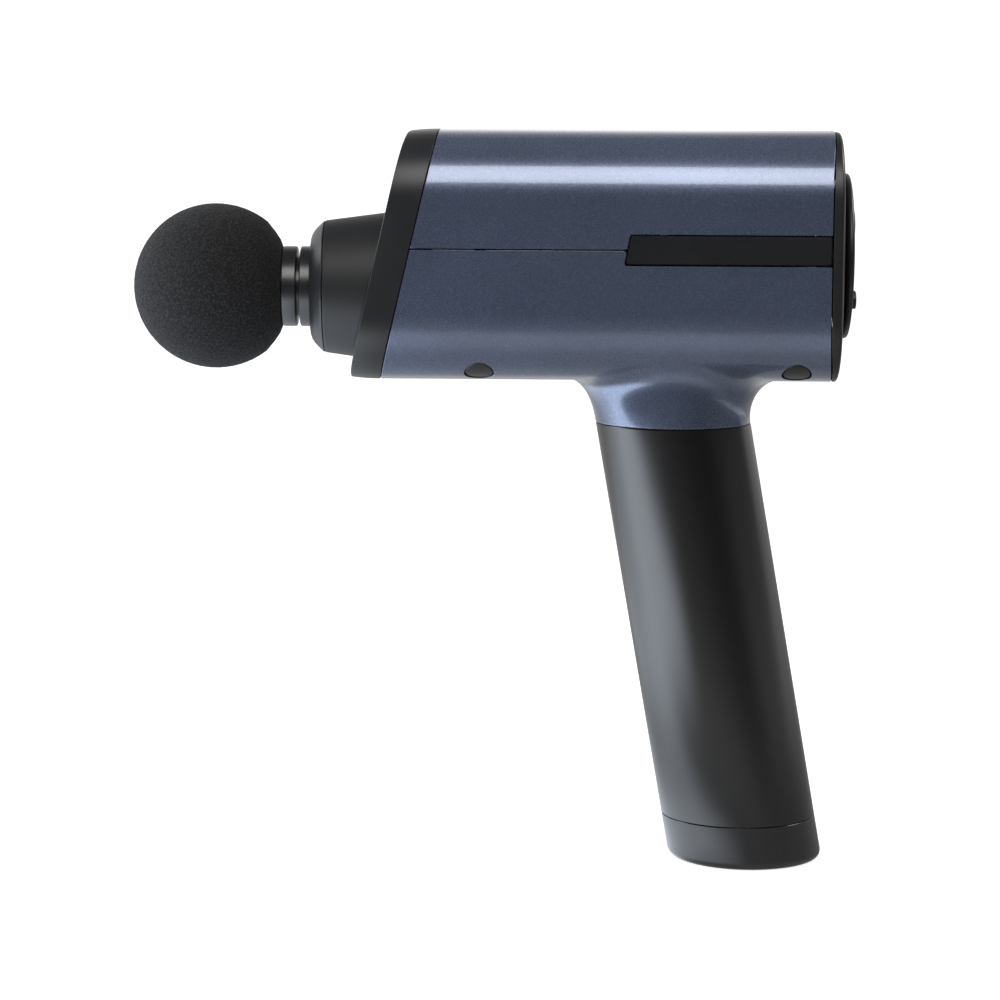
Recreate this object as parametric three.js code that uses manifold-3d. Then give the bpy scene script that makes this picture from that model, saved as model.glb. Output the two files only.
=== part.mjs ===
import * as THREE from 'three';
import { mergeVertices } from 'three/addons/utils/BufferGeometryUtils.js';
import Module from 'manifold-3d';

// Percussion massage gun. Millimetres, +Z up, ball towards -X.
// The origin is the centre of the handle's flat base.

const wasm = await Module();
wasm.setup();

// ---- driving dimensions ----
const AXIS_Z = 173.3; // height of the percussion axis
const GAP = 0.3; // clearance between neighbouring pieces
const SEAM = GAP / 2;

const BODY_BOTTOM = 146.15;
const BODY_TOP = 220.5;
const BODY_HALF = 31;
const BODY_CORNER = 20;
const WALL = 2;
const SPLIT_Z = 186.3; // joint between the lower and upper shells

const BEZEL_FRONT_X = -115.6; // on the percussion axis
const BEZEL_FRONT_LEAN = 0.2256; // x gained per unit of z
const BEZEL_REAR_X = -105.3;
const BEZEL_REAR_LEAN = 0.231;

const REAR_SEAM_X = 22.9; // at y = 0
const REAR_SEAM_R = 240; // the seam is an arc in plan

const HANDLE_R = 23;
const HANDLE_LEAN = 0.178;
const TILT = Math.atan(HANDLE_LEAN);
const GRIP_TOP = 132.65;
const CAP_TOP = 13.2;
const SLEEVE_R = 21.4; // inside of the grip, base cap and collar
const TUBE_R = 21.1;
const TUBE_INNER = 19.95;

const CRANK_X = -6;
const CRANK_R = 6; // half of the 12 mm stroke
const ROD_LENGTH = 38;
const PIN_X = CRANK_X + CRANK_R;
const WRIST_X = PIN_X - ROD_LENGTH;
const ROD_HALF = 3; // half of the rod's thickness

const BALL_X = -161.4;
const BALL_R = 24.8;
const PLUNGER_R = 12;
const PLUNGER_FRONT = -136;
const SOCKET_R = 9.4;

const SCREW_X = [-82, 11.7];
const SCREW_Y = 20.9;
const PLUG_R = 4.25;

const CELL_R = 9;
const CELL_LENGTH = 65;
const CELL_RING = 10.6; // cell centres from the handle's axis
const CELL_START = 16.3; // along the handle's axis

const PANEL_Z = 183.5;
const PANEL_R = 24.75;
const POWER_Z = 192.4;
const ROCKER_Z = 170.9; // minus and plus buttons
const ROCKER_Y = 6.6;

// ---- helpers ----

// Closed solid from a three.js geometry, facing outwards.
function toSolid(geometry) {
  let g = geometry.clone();
  g.deleteAttribute('normal');
  g.deleteAttribute('uv');
  g = mergeVertices(g, 1e-4);
  const p = g.attributes.position.array;
  const faces = [];
  let volume = 0;
  const corner = (i) => new THREE.Vector3(p[3 * i], p[3 * i + 1], p[3 * i + 2]);
  for (let i = 0; i < g.index.count; i += 3) {
    const [a, b, c] = [g.index.getX(i), g.index.getX(i + 1), g.index.getX(i + 2)];
    if (a === b || b === c || c === a) continue;
    faces.push([a, b, c]);
    volume += corner(a).dot(corner(b).cross(corner(c)));
  }
  const flat = faces.flatMap(([a, b, c]) => (volume < 0 ? [a, c, b] : [a, b, c]));
  const mesh = new wasm.Mesh({
    numProp: 3,
    vertProperties: new Float32Array(p),
    triVerts: new Uint32Array(flat),
  });
  return new wasm.Manifold(mesh);
}

// Turned solid about a line parallel to X. The profile is [x, radius] pairs.
function turnX(profile, segments = 24, y = 0, z = AXIS_Z) {
  const points = profile.map(([x, r]) => new THREE.Vector2(r, x));
  const g = new THREE.LatheGeometry(points, segments);
  g.rotateZ(-Math.PI / 2);
  g.translate(0, y, z);
  return toSolid(g);
}

// Turned geometry about Z. The profile is [z, radius] pairs.
function turned(profile, segments) {
  const points = profile.map(([z, r]) => new THREE.Vector2(r, z));
  const g = new THREE.LatheGeometry(points, segments);
  g.rotateX(Math.PI / 2);
  return g;
}

// Turned solid about an upright line.
function turnZ(profile, segments = 24, x = 0, y = 0) {
  const g = turned(profile, segments);
  g.translate(x, y, 0);
  return toSolid(g);
}

// Turned solid about a line parallel to the handle's axis, offset by u (forwards) and v (across).
function turnHandle(profile, segments = 24, u = 0, v = 0) {
  const g = turned(profile, segments);
  g.translate(u, v, 0);
  g.rotateY(-TILT);
  return toSolid(g);
}

function rodX(r, x0, x1, segments = 24, y = 0, z = AXIS_Z) {
  return turnX([[x0, 0], [x0, r], [x1, r], [x1, 0]], segments, y, z);
}

function rodZ(r, z0, z1, x, y, segments = 24) {
  return turnZ([[z0, 0], [z0, r], [z1, r], [z1, 0]], segments, x, y);
}

function ringZ(rIn, rOut, z0, z1, x, y, segments = 24) {
  return turnZ([[z0, rIn], [z0, rOut], [z1, rOut], [z1, rIn], [z0, rIn]], segments, x, y);
}

function ringX(rIn, rOut, x0, x1, segments = 24) {
  return turnX([[x0, rIn], [x0, rOut], [x1, rOut], [x1, rIn], [x0, rIn]], segments);
}

function block(x0, x1, y0, y1, z0, z1) {
  const g = new THREE.BoxGeometry(x1 - x0, y1 - y0, z1 - z0);
  g.translate((x0 + x1) / 2, (y0 + y1) / 2, (z0 + z1) / 2);
  return toSolid(g);
}

function extruded(outline, depth) {
  const shape = new THREE.Shape(outline.map(([a, b]) => new THREE.Vector2(a, b)));
  return new THREE.ExtrudeGeometry(shape, { depth, bevelEnabled: false });
}

// Outline in x and y, standing between two heights.
function prismZ(outline, z0, z1) {
  const g = extruded(outline, z1 - z0);
  g.translate(0, 0, z0);
  return toSolid(g);
}

// Outline in x and z, reaching across from y0 to y1.
function prismY(outline, y0, y1) {
  const g = extruded(outline, y1 - y0);
  g.rotateX(Math.PI / 2);
  g.translate(0, y1, 0);
  return toSolid(g);
}

// Outline in y and z, reaching back from x0 to x1.
function prismX(outline, x0, x1) {
  const g = extruded(outline, x1 - x0);
  const basis = new THREE.Matrix4().makeBasis(
    new THREE.Vector3(0, 1, 0),
    new THREE.Vector3(0, 0, 1),
    new THREE.Vector3(1, 0, 0)
  );
  g.applyMatrix4(basis);
  g.translate(x0, 0, 0);
  return toSolid(g);
}

// Stadium outline centred on (cy, cz), longer across.
function oblong(cy, cz, halfY, halfZ, steps = 4) {
  const points = [];
  for (const side of [1, -1]) {
    for (let i = 0; i <= steps; i += 1) {
      const a = side * (-Math.PI / 2 + (Math.PI * i) / steps);
      const along = side * (halfY - halfZ) + side * halfZ * Math.cos(a);
      points.push([cy + along, cz + halfZ * Math.sin(a)]);
    }
  }
  return points;
}

// Solid through a stack of rings with equal numbers of points.
function loft(rings) {
  const n = rings[0].length;
  const points = rings.flat();
  const faces = [];
  for (let k = 0; k + 1 < rings.length; k += 1) {
    for (let i = 0; i < n; i += 1) {
      const j = (i + 1) % n;
      const [a, b, c, d] = [k * n + i, k * n + j, (k + 1) * n + j, (k + 1) * n + i];
      faces.push(a, b, c, a, c, d);
    }
  }
  for (const [start, flip] of [[0, true], [(rings.length - 1) * n, false]]) {
    for (let i = 1; i + 1 < n; i += 1) {
      const tri = [start, start + i, start + i + 1];
      faces.push(...(flip ? tri.reverse() : tri));
    }
  }
  const g = new THREE.BufferGeometry();
  g.setAttribute('position', new THREE.Float32BufferAttribute(points.flat(), 3));
  g.setIndex(faces);
  return toSolid(g);
}

// Round handle section, cut level at height z, with its radius and the shift of its centre.
function handleRing(z, r, shift = 0, segments = 28) {
  const ring = [];
  for (let i = 0; i < segments; i += 1) {
    const a = (2 * Math.PI * i) / segments;
    ring.push([-HANDLE_LEAN * z + shift + (r / Math.cos(TILT)) * Math.cos(a), r * Math.sin(a), z]);
  }
  return ring;
}

function handle(r, z0, z1, segments = 28) {
  return loft([handleRing(z0, r, 0, segments), handleRing(z1, r, 0, segments)]);
}

// Rounded section of the body, inset from the outside, standing at x and leaning by x per z.
function bodyRing(x, inset, lean = 0, steps = 5) {
  const corner = Math.max(BODY_CORNER - inset, 1.5);
  const halfY = BODY_HALF - inset - corner;
  const middle = (BODY_BOTTOM + BODY_TOP) / 2;
  const halfZ = (BODY_TOP - BODY_BOTTOM) / 2 - inset - corner;
  const ring = [];
  for (const [sy, sz, start] of [[1, 1, 0], [-1, 1, 1], [-1, -1, 2], [1, -1, 3]]) {
    for (let i = 0; i <= steps; i += 1) {
      const a = (start + i / steps) * (Math.PI / 2);
      const y = sy * halfY + corner * Math.cos(a);
      const z = middle + sz * halfZ + corner * Math.sin(a);
      ring.push([x + lean * (z - AXIS_Z), y, z]);
    }
  }
  return ring;
}

// Everything ahead of the curved rear seam, moved back by an offset.
function aheadOfSeam(offset) {
  const outline = [];
  for (let i = 0; i <= 8; i += 1) {
    const y = -40 + 10 * i;
    outline.push([REAR_SEAM_X + offset - (y * y) / (2 * REAR_SEAM_R), y]);
  }
  outline.push([-250, 40], [-250, -40]);
  return prismZ(outline, 100, 260);
}

// Everything ahead of a leaning plane.
function aheadOfPlane(x, lean) {
  const at = (z) => x + lean * (z - AXIS_Z);
  return prismY([[at(110), 110], [at(250), 250], [-260, 250], [-260, 110]], -60, 60);
}

const group = new THREE.Group();
group.name = 'massage_gun';

function piece(name, solid, color, roughness = 0.6, metalness = 0) {
  const mesh = solid.getMesh();
  const g = new THREE.BufferGeometry();
  g.setAttribute('position', new THREE.BufferAttribute(new Float32Array(mesh.vertProperties), 3));
  g.setIndex(new THREE.BufferAttribute(new Uint32Array(mesh.triVerts), 1));
  g.computeVertexNormals();
  const material = new THREE.MeshStandardMaterial({ color, roughness, metalness });
  material.name = name;
  const part = new THREE.Mesh(g, material);
  part.name = name;
  group.add(part);
}

const BLUE = 0x40455a;
const BLACK = 0x2b2c30;
const RUBBER = 0x1d1d1f;
const FOAM = 0x2c2e30;
const STEEL = 0x9a9ca0;
const ALUMINIUM = 0xb4b6ba;
const COPPER = 0xa8623a;
const BOARD = 0x1f5a3a;
const CELL = 0x3f6ea8;
const NYLON = 0x3a3b40;

// ---- shells ----
const outer = loft([
  bodyRing(BEZEL_REAR_X + SEAM, 0, BEZEL_REAR_LEAN),
  bodyRing(40, 0),
]).intersect(aheadOfSeam(-SEAM));
const hollow = loft([bodyRing(-125, WALL, BEZEL_REAR_LEAN), bodyRing(45, WALL)]);

// Flared collar between the round handle and the body: height, front and rear x, half-width.
const COLLAR = [
  [GRIP_TOP + SEAM, -46.97, -0.26, 23.0],
  [136.5, -47.95, -0.1, 23.1],
  [139.6, -48.6, 0.85, 23.3],
  [142.4, -50.7, 2.6, 23.7],
  [144.3, -52.8, 4.9, 24.2],
  [145.6, -55.1, 7.3, 24.8],
  [146.3, -58.6, 10.6, 25.2],
  [149.5, -58.6, 10.6, 26.0],
  [153.5, -50, 2, 25.6],
];
const collarRings = COLLAR.map(([z, front, rear, half]) => {
  const ring = [];
  for (let i = 0; i < 24; i += 1) {
    const a = (2 * Math.PI * i) / 24;
    const x = (front + rear) / 2 + ((rear - front) / 2) * Math.cos(a);
    ring.push([x, half * Math.sin(a), z]);
  }
  return ring;
});

const stripOutline = (grow) => [
  [-39.4 - grow, 182.1 - grow],
  [40, 182.1 - grow],
  [40, 190.7 + grow],
  [-37.3 - grow, 190.7 + grow],
];
const stripPocket = (side) => {
  const [a, b] = side < 0 ? [-BODY_HALF - 1, -BODY_HALF + 1.3] : [BODY_HALF - 1.3, BODY_HALF + 1];
  return prismY(stripOutline(GAP), a, b);
};
const strip = (side) => {
  const [a, b] = side < 0 ? [-BODY_HALF, -BODY_HALF + 1] : [BODY_HALF - 1, BODY_HALF];
  return prismY(stripOutline(0), a, b).intersect(aheadOfSeam(-SEAM));
};

const screwSpots = [];
for (const x of SCREW_X) {
  for (const side of [-1, 1]) {
    const end = x < 0 ? 'front' : 'rear';
    screwSpots.push({ name: `${end}_${side < 0 ? 'left' : 'right'}`, x, y: side * SCREW_Y });
  }
}

let lower = outer.intersect(block(-140, 60, -50, 50, 140, SPLIT_Z - SEAM)).add(loft(collarRings));
lower = lower.subtract(hollow);
lower = lower.subtract(handle(SLEEVE_R, 120, 158, 24));
let upper = outer.intersect(block(-140, 60, -50, 50, SPLIT_Z + SEAM, 240)).subtract(hollow);
for (const { x, y } of screwSpots) {
  const foot = rodZ(PLUG_R + 1.8, 140, 155.9, x, y, 12).intersect(outer);
  lower = lower.add(foot).add(rodZ(4.2, 154, SPLIT_Z - SEAM, x, y, 12));
  lower = lower.subtract(rodZ(PLUG_R + 0.2, 140, 154.4, x, y, 16));
  lower = lower.subtract(rodZ(3.4, 150, 158.5, x, y, 12));
  lower = lower.subtract(rodZ(1.8, 150, 200, x, y, 8));
  upper = upper.add(rodZ(4.2, SPLIT_Z + SEAM, 230, x, y, 12).intersect(outer));
  upper = upper.subtract(rodZ(1.8, 180, 196, x, y, 8));
}
for (const side of [-1, 1]) {
  lower = lower.subtract(stripPocket(side));
  upper = upper.subtract(stripPocket(side));
}
piece('lower_shell', lower, BLUE, 0.3, 0.5);
piece('upper_shell', upper, BLUE, 0.3, 0.5);
piece('accent_strip_left', strip(-1), BLACK);
piece('accent_strip_right', strip(1), BLACK);

for (const { name, x, y } of screwSpots) {
  piece(`screw_plug_${name}`, rodZ(PLUG_R - 0.1, 140, 154.1, x, y, 16).intersect(outer), BLACK);
  const screw = [[156.1, 0], [156.1, 3.0], [158.2, 3.0], [158.2, 1.4], [195, 1.4], [195.6, 0]];
  piece(`shell_screw_${name}`, turnZ(screw, 10, x, y), STEEL, 0.35, 1);
}

// ---- nose ----
let bezel = loft([
  bodyRing(BEZEL_REAR_X - SEAM, 0, BEZEL_REAR_LEAN),
  bodyRing(BEZEL_FRONT_X + 2.0, 0, BEZEL_FRONT_LEAN),
  bodyRing(BEZEL_FRONT_X + 0.6, 0.9, BEZEL_FRONT_LEAN),
  bodyRing(BEZEL_FRONT_X, 3.2, BEZEL_FRONT_LEAN),
]);
bezel = bezel.subtract(loft([
  bodyRing(BEZEL_FRONT_X + 3, WALL + 0.4, BEZEL_FRONT_LEAN),
  bodyRing(-80, WALL + 0.4, BEZEL_REAR_LEAN),
]));
bezel = bezel.subtract(rodX(17.8, -140, -80, 28));
piece('front_bezel', bezel, BLACK);

const coneSkin = turnX([
  [-129.45, 0],
  [-129.45, 19.15],
  [-127.3, 19.75],
  [-124.3, 20.4],
  [-112.3, 22.0],
  [-104, 23.1],
  [-104, 0],
], 28).intersect(aheadOfPlane(BEZEL_FRONT_X - GAP, BEZEL_FRONT_LEAN));
const coneInside = turnX([
  [-126.6, 0],
  [-126.6, 17.5],
  [-112.3, 19.7],
  [-100, 21.3],
  [-100, 0],
], 28).subtract(rodX(17.5, -140, -90, 28));
let cone = coneSkin.add(rodX(17.5, -126.8, -104.5, 28)).subtract(coneInside);
cone = cone.subtract(rodX(14.3, -140, -90, 28)).subtract(ringX(15.9, 20, -122, -100, 28));
piece('nose_cone', cone, BLACK, 0.7);
piece('nose_ring', turnX([
  [-133.0, 14.3],
  [-133.0, 15.2],
  [-132.6, 15.8],
  [-131.5, 17.4],
  [-130.3, 18.6],
  [-129.75, 19.0],
  [-129.75, 14.3],
  [-133.0, 14.3],
], 28), BLACK, 0.3);
piece('dust_seal', ringX(12.3, 14.0, -132.6, -128.4, 28), RUBBER, 0.9);
piece('guide_bush', ringX(12.3, 14.0, -128.0, -96.5, 28), BLACK);

// ---- rear ----
let rear = loft([
  bodyRing(10, 0),
  bodyRing(25.1, 0),
  bodyRing(25.6, 0.5),
  bodyRing(26.2, 4),
  bodyRing(26.7, 11),
  bodyRing(26.9, 15),
]).subtract(aheadOfSeam(SEAM));
rear = rear.subtract(loft([bodyRing(0, WALL), bodyRing(23.6, WALL)]));
rear = rear.subtract(rodX(PANEL_R + GAP, 10, 40, 28, 0, PANEL_Z));
piece('rear_cap', rear, BLACK);

let panel = turnX([
  [29.3, 0],
  [28.95, 15],
  [28.2, 23.6],
  [27.2, PANEL_R],
  [24.4, PANEL_R],
  [24.4, 23.0],
  [26.6, 22.8],
  [27.4, 0],
], 28, 0, PANEL_Z);
panel = panel.subtract(rodX(4.95, 20, 40, 16, 0, POWER_Z));
panel = panel.subtract(prismX(oblong(-ROCKER_Y, ROCKER_Z, 4.9, 3.0), 20, 40));
panel = panel.subtract(prismX(oblong(ROCKER_Y, ROCKER_Z, 4.9, 3.0), 20, 40));
panel = panel.subtract(prismX(oblong(0, 181.6, 11.3, 4.3, 3), 20, 40));
piece('control_panel', panel, BLACK, 0.4);
piece('display_lens', prismX(oblong(0, 181.6, 11.0, 4.0, 3), 27.6, 29.0), 0x101114, 0.1);
const board = rodX(20, 19.9, 21.5, 24, 0, PANEL_Z);
piece('button_board', board, BOARD);

const powerButton = turnX([
  [22.6, 0],
  [22.6, 5.8],
  [23.8, 5.8],
  [23.8, 4.65],
  [29.45, 4.65],
  [29.7, 4.2],
  [29.7, 0],
], 16, 0, POWER_Z);
piece('power_button', powerButton, BLACK, 0.4);
for (const [name, y] of [['minus_button', -ROCKER_Y], ['plus_button', ROCKER_Y]]) {
  const flange = prismX(oblong(y, ROCKER_Z, 5.4, 3.6), 22.6, 23.8);
  piece(name, flange.add(prismX(oblong(y, ROCKER_Z, 4.6, 2.7), 23.6, 29.85)), BLACK, 0.4);
}

// ---- handle ----
const grip = handle(HANDLE_R, CAP_TOP + SEAM, GRIP_TOP - SEAM, 32)
  .subtract(handle(SLEEVE_R, 0, 150, 32));
piece('grip_sleeve', grip, RUBBER, 0.85);
piece('handle_tube', handle(TUBE_R, 3.4, 143, 24).subtract(handle(TUBE_INNER, 0, 150, 24)), NYLON);

const PORT_X = 11;
let baseCap = loft([
  handleRing(0, HANDLE_R - 2.4, 0, 32),
  handleRing(0.5, HANDLE_R - 1.2, 0, 32),
  handleRing(1.3, HANDLE_R - 0.4, 0, 32),
  handleRing(2.6, HANDLE_R, 0, 32),
  handleRing(CAP_TOP - SEAM, HANDLE_R, 0, 32),
]);
baseCap = baseCap.subtract(handle(SLEEVE_R, 3, 20, 32));
baseCap = baseCap.subtract(rodZ(4.4, -5, 10, PORT_X, 0, 20));
piece('base_cap', baseCap, BLACK);
piece('charge_port', turnZ([
  [7.6, 0],
  [7.6, 4.1],
  [0.3, 4.1],
  [0.3, 3.0],
  [6.2, 3.0],
  [6.2, 1.0],
  [1.2, 1.0],
  [1.2, 0],
], 20, PORT_X, 0), BLACK, 0.4);

// ---- battery ----
for (let layer = 0; layer < 2; layer += 1) {
  for (let i = 0; i < 3; i += 1) {
    const a = (2 * Math.PI * i) / 3;
    const s = CELL_START + layer * (CELL_LENGTH + 2);
    const can = [
      [s, 0],
      [s, CELL_R],
      [s + CELL_LENGTH - 0.8, CELL_R],
      [s + CELL_LENGTH - 0.8, 3],
      [s + CELL_LENGTH, 3],
      [s + CELL_LENGTH, 0],
    ];
    const [u, v] = [CELL_RING * Math.cos(a), CELL_RING * Math.sin(a)];
    piece(`battery_cell_${3 * layer + i + 1}`, turnHandle(can, 16, u, v), CELL, 0.4);
  }
}
const holder = (s0, s1) => {
  let plate = turnHandle([[s0, 0], [s0, 19.5], [s1, 19.5], [s1, 0]], 20);
  for (let i = 0; i < 3; i += 1) {
    const a = (2 * Math.PI * i) / 3;
    const [u, v] = [CELL_RING * Math.cos(a), CELL_RING * Math.sin(a)];
    plate = plate.subtract(turnHandle([[s0 - 1, 0], [s0 - 1, 4], [s1 + 1, 4], [s1 + 1, 0]], 8, u, v));
  }
  return plate;
};
piece('cell_holder_bottom', holder(14.2, 16), BLACK);
piece('cell_holder_middle', holder(81.6, 83), BLACK);
piece('cell_holder_top', holder(148.6, 150.4), BLACK);
piece('battery_board', turnHandle([[12, 0], [12, 16], [13.6, 16], [13.6, 0]], 24), BOARD);

// ---- drive frame and motor ----
let frame = block(-58, 8, -16.4, 16.4, 156, 186);
frame = frame.subtract(block(-70, 20, -14.2, 14.2, 150, 183));
frame = frame.add(block(-58, -51, -16.4, 16.4, 153.3, 158));
frame = frame.add(block(-1, 6.4, -16.4, 16.4, 153.3, 158));
frame = frame.subtract(block(-70, -28, -9.5, 9.5, 180, 190));
frame = frame.subtract(block(-46, -24, -20, 20, 164, 178));
frame = frame.subtract(rodZ(6.3, 170, 200, CRANK_X, 0, 20));
piece('drive_frame', frame, ALUMINIUM, 0.45, 0.9);
piece('frame_damper_front', block(-58, -51, -13.4, 13.4, 149, 153), RUBBER, 0.9);
piece('frame_damper_rear', block(-1, 6.4, -13.4, 13.4, 149, 153), RUBBER, 0.9);

piece('motor_bearing_lower', ringZ(2.8, 6.0, 183.1, 186.2, CRANK_X, 0, 20), STEEL, 0.3, 1);
piece('motor_bearing_upper', ringZ(2.8, 5.0, 203, 207, CRANK_X, 0, 20), STEEL, 0.3, 1);
const motorBase = turnZ([
  [186.5, 3.4],
  [186.5, 15],
  [188.3, 15],
  [188.3, 7.0],
  [208.2, 7.0],
  [208.2, 5.3],
  [202.7, 5.3],
  [202.7, 3.4],
  [186.5, 3.4],
], 24, CRANK_X, 0);
piece('motor_base', motorBase, ALUMINIUM, 0.4, 0.9);

// Nine teeth with wide tips; the winding fills the slots and both ends.
const TEETH = 9;
const toothOutline = (grow) => {
  const points = [];
  for (let i = 0; i < TEETH; i += 1) {
    const at = (angle, r) => {
      const a = (2 * Math.PI * (i + angle)) / TEETH;
      return [CRANK_X + r * Math.cos(a), r * Math.sin(a)];
    };
    const root = 10.2 + grow;
    const tip = 15.8 - grow;
    const neck = 0.12 + grow * 0.06;
    points.push(at(-0.5, root), at(-neck * 1.3, root), at(-neck, tip), at(-0.42, tip + 0.3));
    points.push(at(-0.42, 17.5 + grow), at(0, 17.7 + grow), at(0.42, 17.5 + grow));
    points.push(at(0.42, tip + 0.3), at(neck, tip), at(neck * 1.3, root));
  }
  return points;
};
const coreBore = (r) => rodZ(r, 180, 215, CRANK_X, 0, 24);
piece('stator_core', prismZ(toothOutline(0), 191.5, 206).subtract(coreBore(7.3)), STEEL, 0.5, 0.9);
const windings = ringZ(8.2, 15.2, 189.2, 208.2, CRANK_X, 0, 27)
  .subtract(prismZ(toothOutline(0.25), 191.2, 206.3));
piece('stator_windings', windings, COPPER, 0.4, 0.8);

// ---- rotor ----
let can = turnZ([
  [212.4, 2.8],
  [212.4, 21.8],
  [211.6, 22.6],
  [189.2, 22.6],
  [189.2, 20.7],
  [210, 20.7],
  [210, 2.8],
  [212.4, 2.8],
], 28, CRANK_X, 0);
for (let i = 0; i < 6; i += 1) {
  const a = (2 * Math.PI * (i + 0.5)) / 6;
  can = can.subtract(rodZ(3, 200, 220, CRANK_X + 12.5 * Math.cos(a), 12.5 * Math.sin(a), 10));
}
piece('rotor_can', can, STEEL, 0.35, 1);
piece('rotor_magnets', ringZ(18.3, 20.4, 190.4, 207.6, CRANK_X, 0, 28), 0x55575c, 0.5, 0.8);
piece('motor_shaft', rodZ(2.5, 177.9, 213.2, CRANK_X, 0, 16), STEEL, 0.25, 1);
const crank = turnZ([
  [177.6, 0],
  [177.6, 12.4],
  [181.6, 12.4],
  [181.6, 5],
  [182.4, 5],
  [182.4, 0],
], 24, CRANK_X, 0).subtract(rodZ(2.8, 177.8, 190, CRANK_X, 0, 16));
const relief = block(CRANK_X + 1.5, CRANK_X + 20, -20, 20, 170, 190)
  .subtract(rodZ(9.2, 165, 195, CRANK_X, 0, 24));
piece('crank_disc', crank.subtract(relief), STEEL, 0.4, 1);

// ---- plunger, rod and head ----
let plunger = turnX([
  [PLUNGER_FRONT, SOCKET_R],
  [PLUNGER_FRONT, 11.6],
  [PLUNGER_FRONT + 0.4, PLUNGER_R],
  [WRIST_X + 6.6, PLUNGER_R],
  [WRIST_X + 6.6, 0],
  [-104, 0],
  [-104, SOCKET_R],
  [PLUNGER_FRONT, SOCKET_R],
], 28);
const mid = AXIS_Z;
const slot = block(WRIST_X - 12, 0, -20, 20, mid - ROD_HALF - 0.5, mid + ROD_HALF + 0.5);
plunger = plunger.subtract(rodX(9.8, -100, WRIST_X - 9, 20)).subtract(slot);
plunger = plunger.subtract(rodZ(3.3, 140, 200, WRIST_X, 0, 16));
piece('plunger', plunger, NYLON, 0.45);
piece('wrist_pin', rodZ(3, mid - 10.6, mid + 10.6, WRIST_X, 0, 16), STEEL, 0.25, 1);

const arm = block(WRIST_X, PIN_X, -3.2, 3.2, mid - ROD_HALF, mid + ROD_HALF);
let rod = arm.add(rodZ(5.6, mid - ROD_HALF, mid + ROD_HALF, WRIST_X, 0, 20));
rod = rod.add(rodZ(7.4, mid - ROD_HALF, mid + ROD_HALF, PIN_X, 0, 24));
rod = rod.subtract(rodZ(3.3, 150, 200, WRIST_X, 0, 16));
rod = rod.subtract(rodZ(5.6, 150, 200, PIN_X, 0, 24));
piece('connecting_rod', rod, ALUMINIUM, 0.45, 0.9);
piece('big_end_bearing', ringZ(2.8, 5.3, mid - 2.8, mid + 2.8, PIN_X, 0, 24), STEEL, 0.3, 1);
piece('crank_pin', rodZ(2.5, mid - 3.6, 177.2, PIN_X, 0, 16), STEEL, 0.25, 1);

const ballProfile = [[BALL_X - BALL_R, 0]];
for (let i = 1; i <= 9; i += 1) {
  const a = (128 / 9) * i * (Math.PI / 180);
  ballProfile.push([BALL_X - BALL_R * Math.cos(a), BALL_R * Math.sin(a)]);
}
ballProfile.push([-143.9, 16.6], [-142.4, 14.3], [-141.6, 12.7]);
ballProfile.push([-141.6, 9.4], [-160.2, 9.4], [-160.2, 12.3], [-163.8, 12.3], [-163.8, 9.4]);
ballProfile.push([-176.3, 9.4], [-176.3, 0]);
piece('ball_foam', turnX(ballProfile, 24), FOAM, 0.95);
piece('head_core', turnX([
  [-176, 0],
  [-176, 9.1],
  [-163.5, 9.1],
  [-163.5, 12],
  [-160.5, 12],
  [-160.5, 9.1],
  [-141.3, 9.1],
  [-141.3, 12],
  [-137.4, 12],
  [-137.0, 11.6],
  [-137.0, 8.9],
  [-116.6, 8.9],
  [-116.6, 7.5],
  [-114.6, 7.5],
  [-114.6, 8.9],
  [-107.5, 8.9],
  [-106.3, 7.8],
  [-106.3, 5.6],
  [-172, 5.6],
  [-172, 0],
], 20), NYLON, 0.45);
piece('head_o_ring', ringX(7.8, 9.15, -116.3, -114.9, 20), RUBBER, 0.8);

// ---- electronics in the body ----
piece('main_board', block(11.6, 13.2, -13.5, 13.5, 154, 181), BOARD);
const leadPath = new THREE.CatmullRomCurve3([
  new THREE.Vector3(-20, 0, 152.6),
  new THREE.Vector3(-10, 0, 155.5),
  new THREE.Vector3(0, 0, 160.2),
  new THREE.Vector3(6, 0, 161.5),
  new THREE.Vector3(11.2, 0, 163),
]);
const wire = new THREE.Shape();
wire.absarc(0, 0, 1.2, 0, 2 * Math.PI, false);
const leadShape = { steps: 8, curveSegments: 3, bevelEnabled: false, extrudePath: leadPath };
piece('battery_lead', toSolid(new THREE.ExtrudeGeometry(wire, leadShape)), 0x8a2a28, 0.5);

export default group;
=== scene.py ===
import math

import bmesh
import bpy
import numpy as np
from mathutils import Matrix, Vector
from mathutils import noise as mesh_noise
from mathutils.geometry import delaunay_2d_cdt


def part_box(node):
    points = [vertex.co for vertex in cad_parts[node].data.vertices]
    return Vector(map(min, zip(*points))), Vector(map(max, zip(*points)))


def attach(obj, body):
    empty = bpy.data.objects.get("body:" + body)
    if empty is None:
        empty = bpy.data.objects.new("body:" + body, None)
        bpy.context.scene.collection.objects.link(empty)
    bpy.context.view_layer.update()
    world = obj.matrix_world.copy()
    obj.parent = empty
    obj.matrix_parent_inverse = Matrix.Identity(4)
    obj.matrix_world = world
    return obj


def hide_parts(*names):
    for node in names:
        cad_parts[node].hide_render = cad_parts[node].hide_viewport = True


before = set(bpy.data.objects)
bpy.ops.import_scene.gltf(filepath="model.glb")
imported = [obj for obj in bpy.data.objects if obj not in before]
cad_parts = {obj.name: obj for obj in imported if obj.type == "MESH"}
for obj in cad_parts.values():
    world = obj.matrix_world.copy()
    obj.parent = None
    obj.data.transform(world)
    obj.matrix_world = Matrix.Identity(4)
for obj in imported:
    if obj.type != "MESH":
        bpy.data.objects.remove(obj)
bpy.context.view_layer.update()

# Lengths below are in millimetres, in the part's own frame. put() turns them into metres.
MM = 0.001


def box(node):
    low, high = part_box(node)
    return low / MM, high / MM


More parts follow.
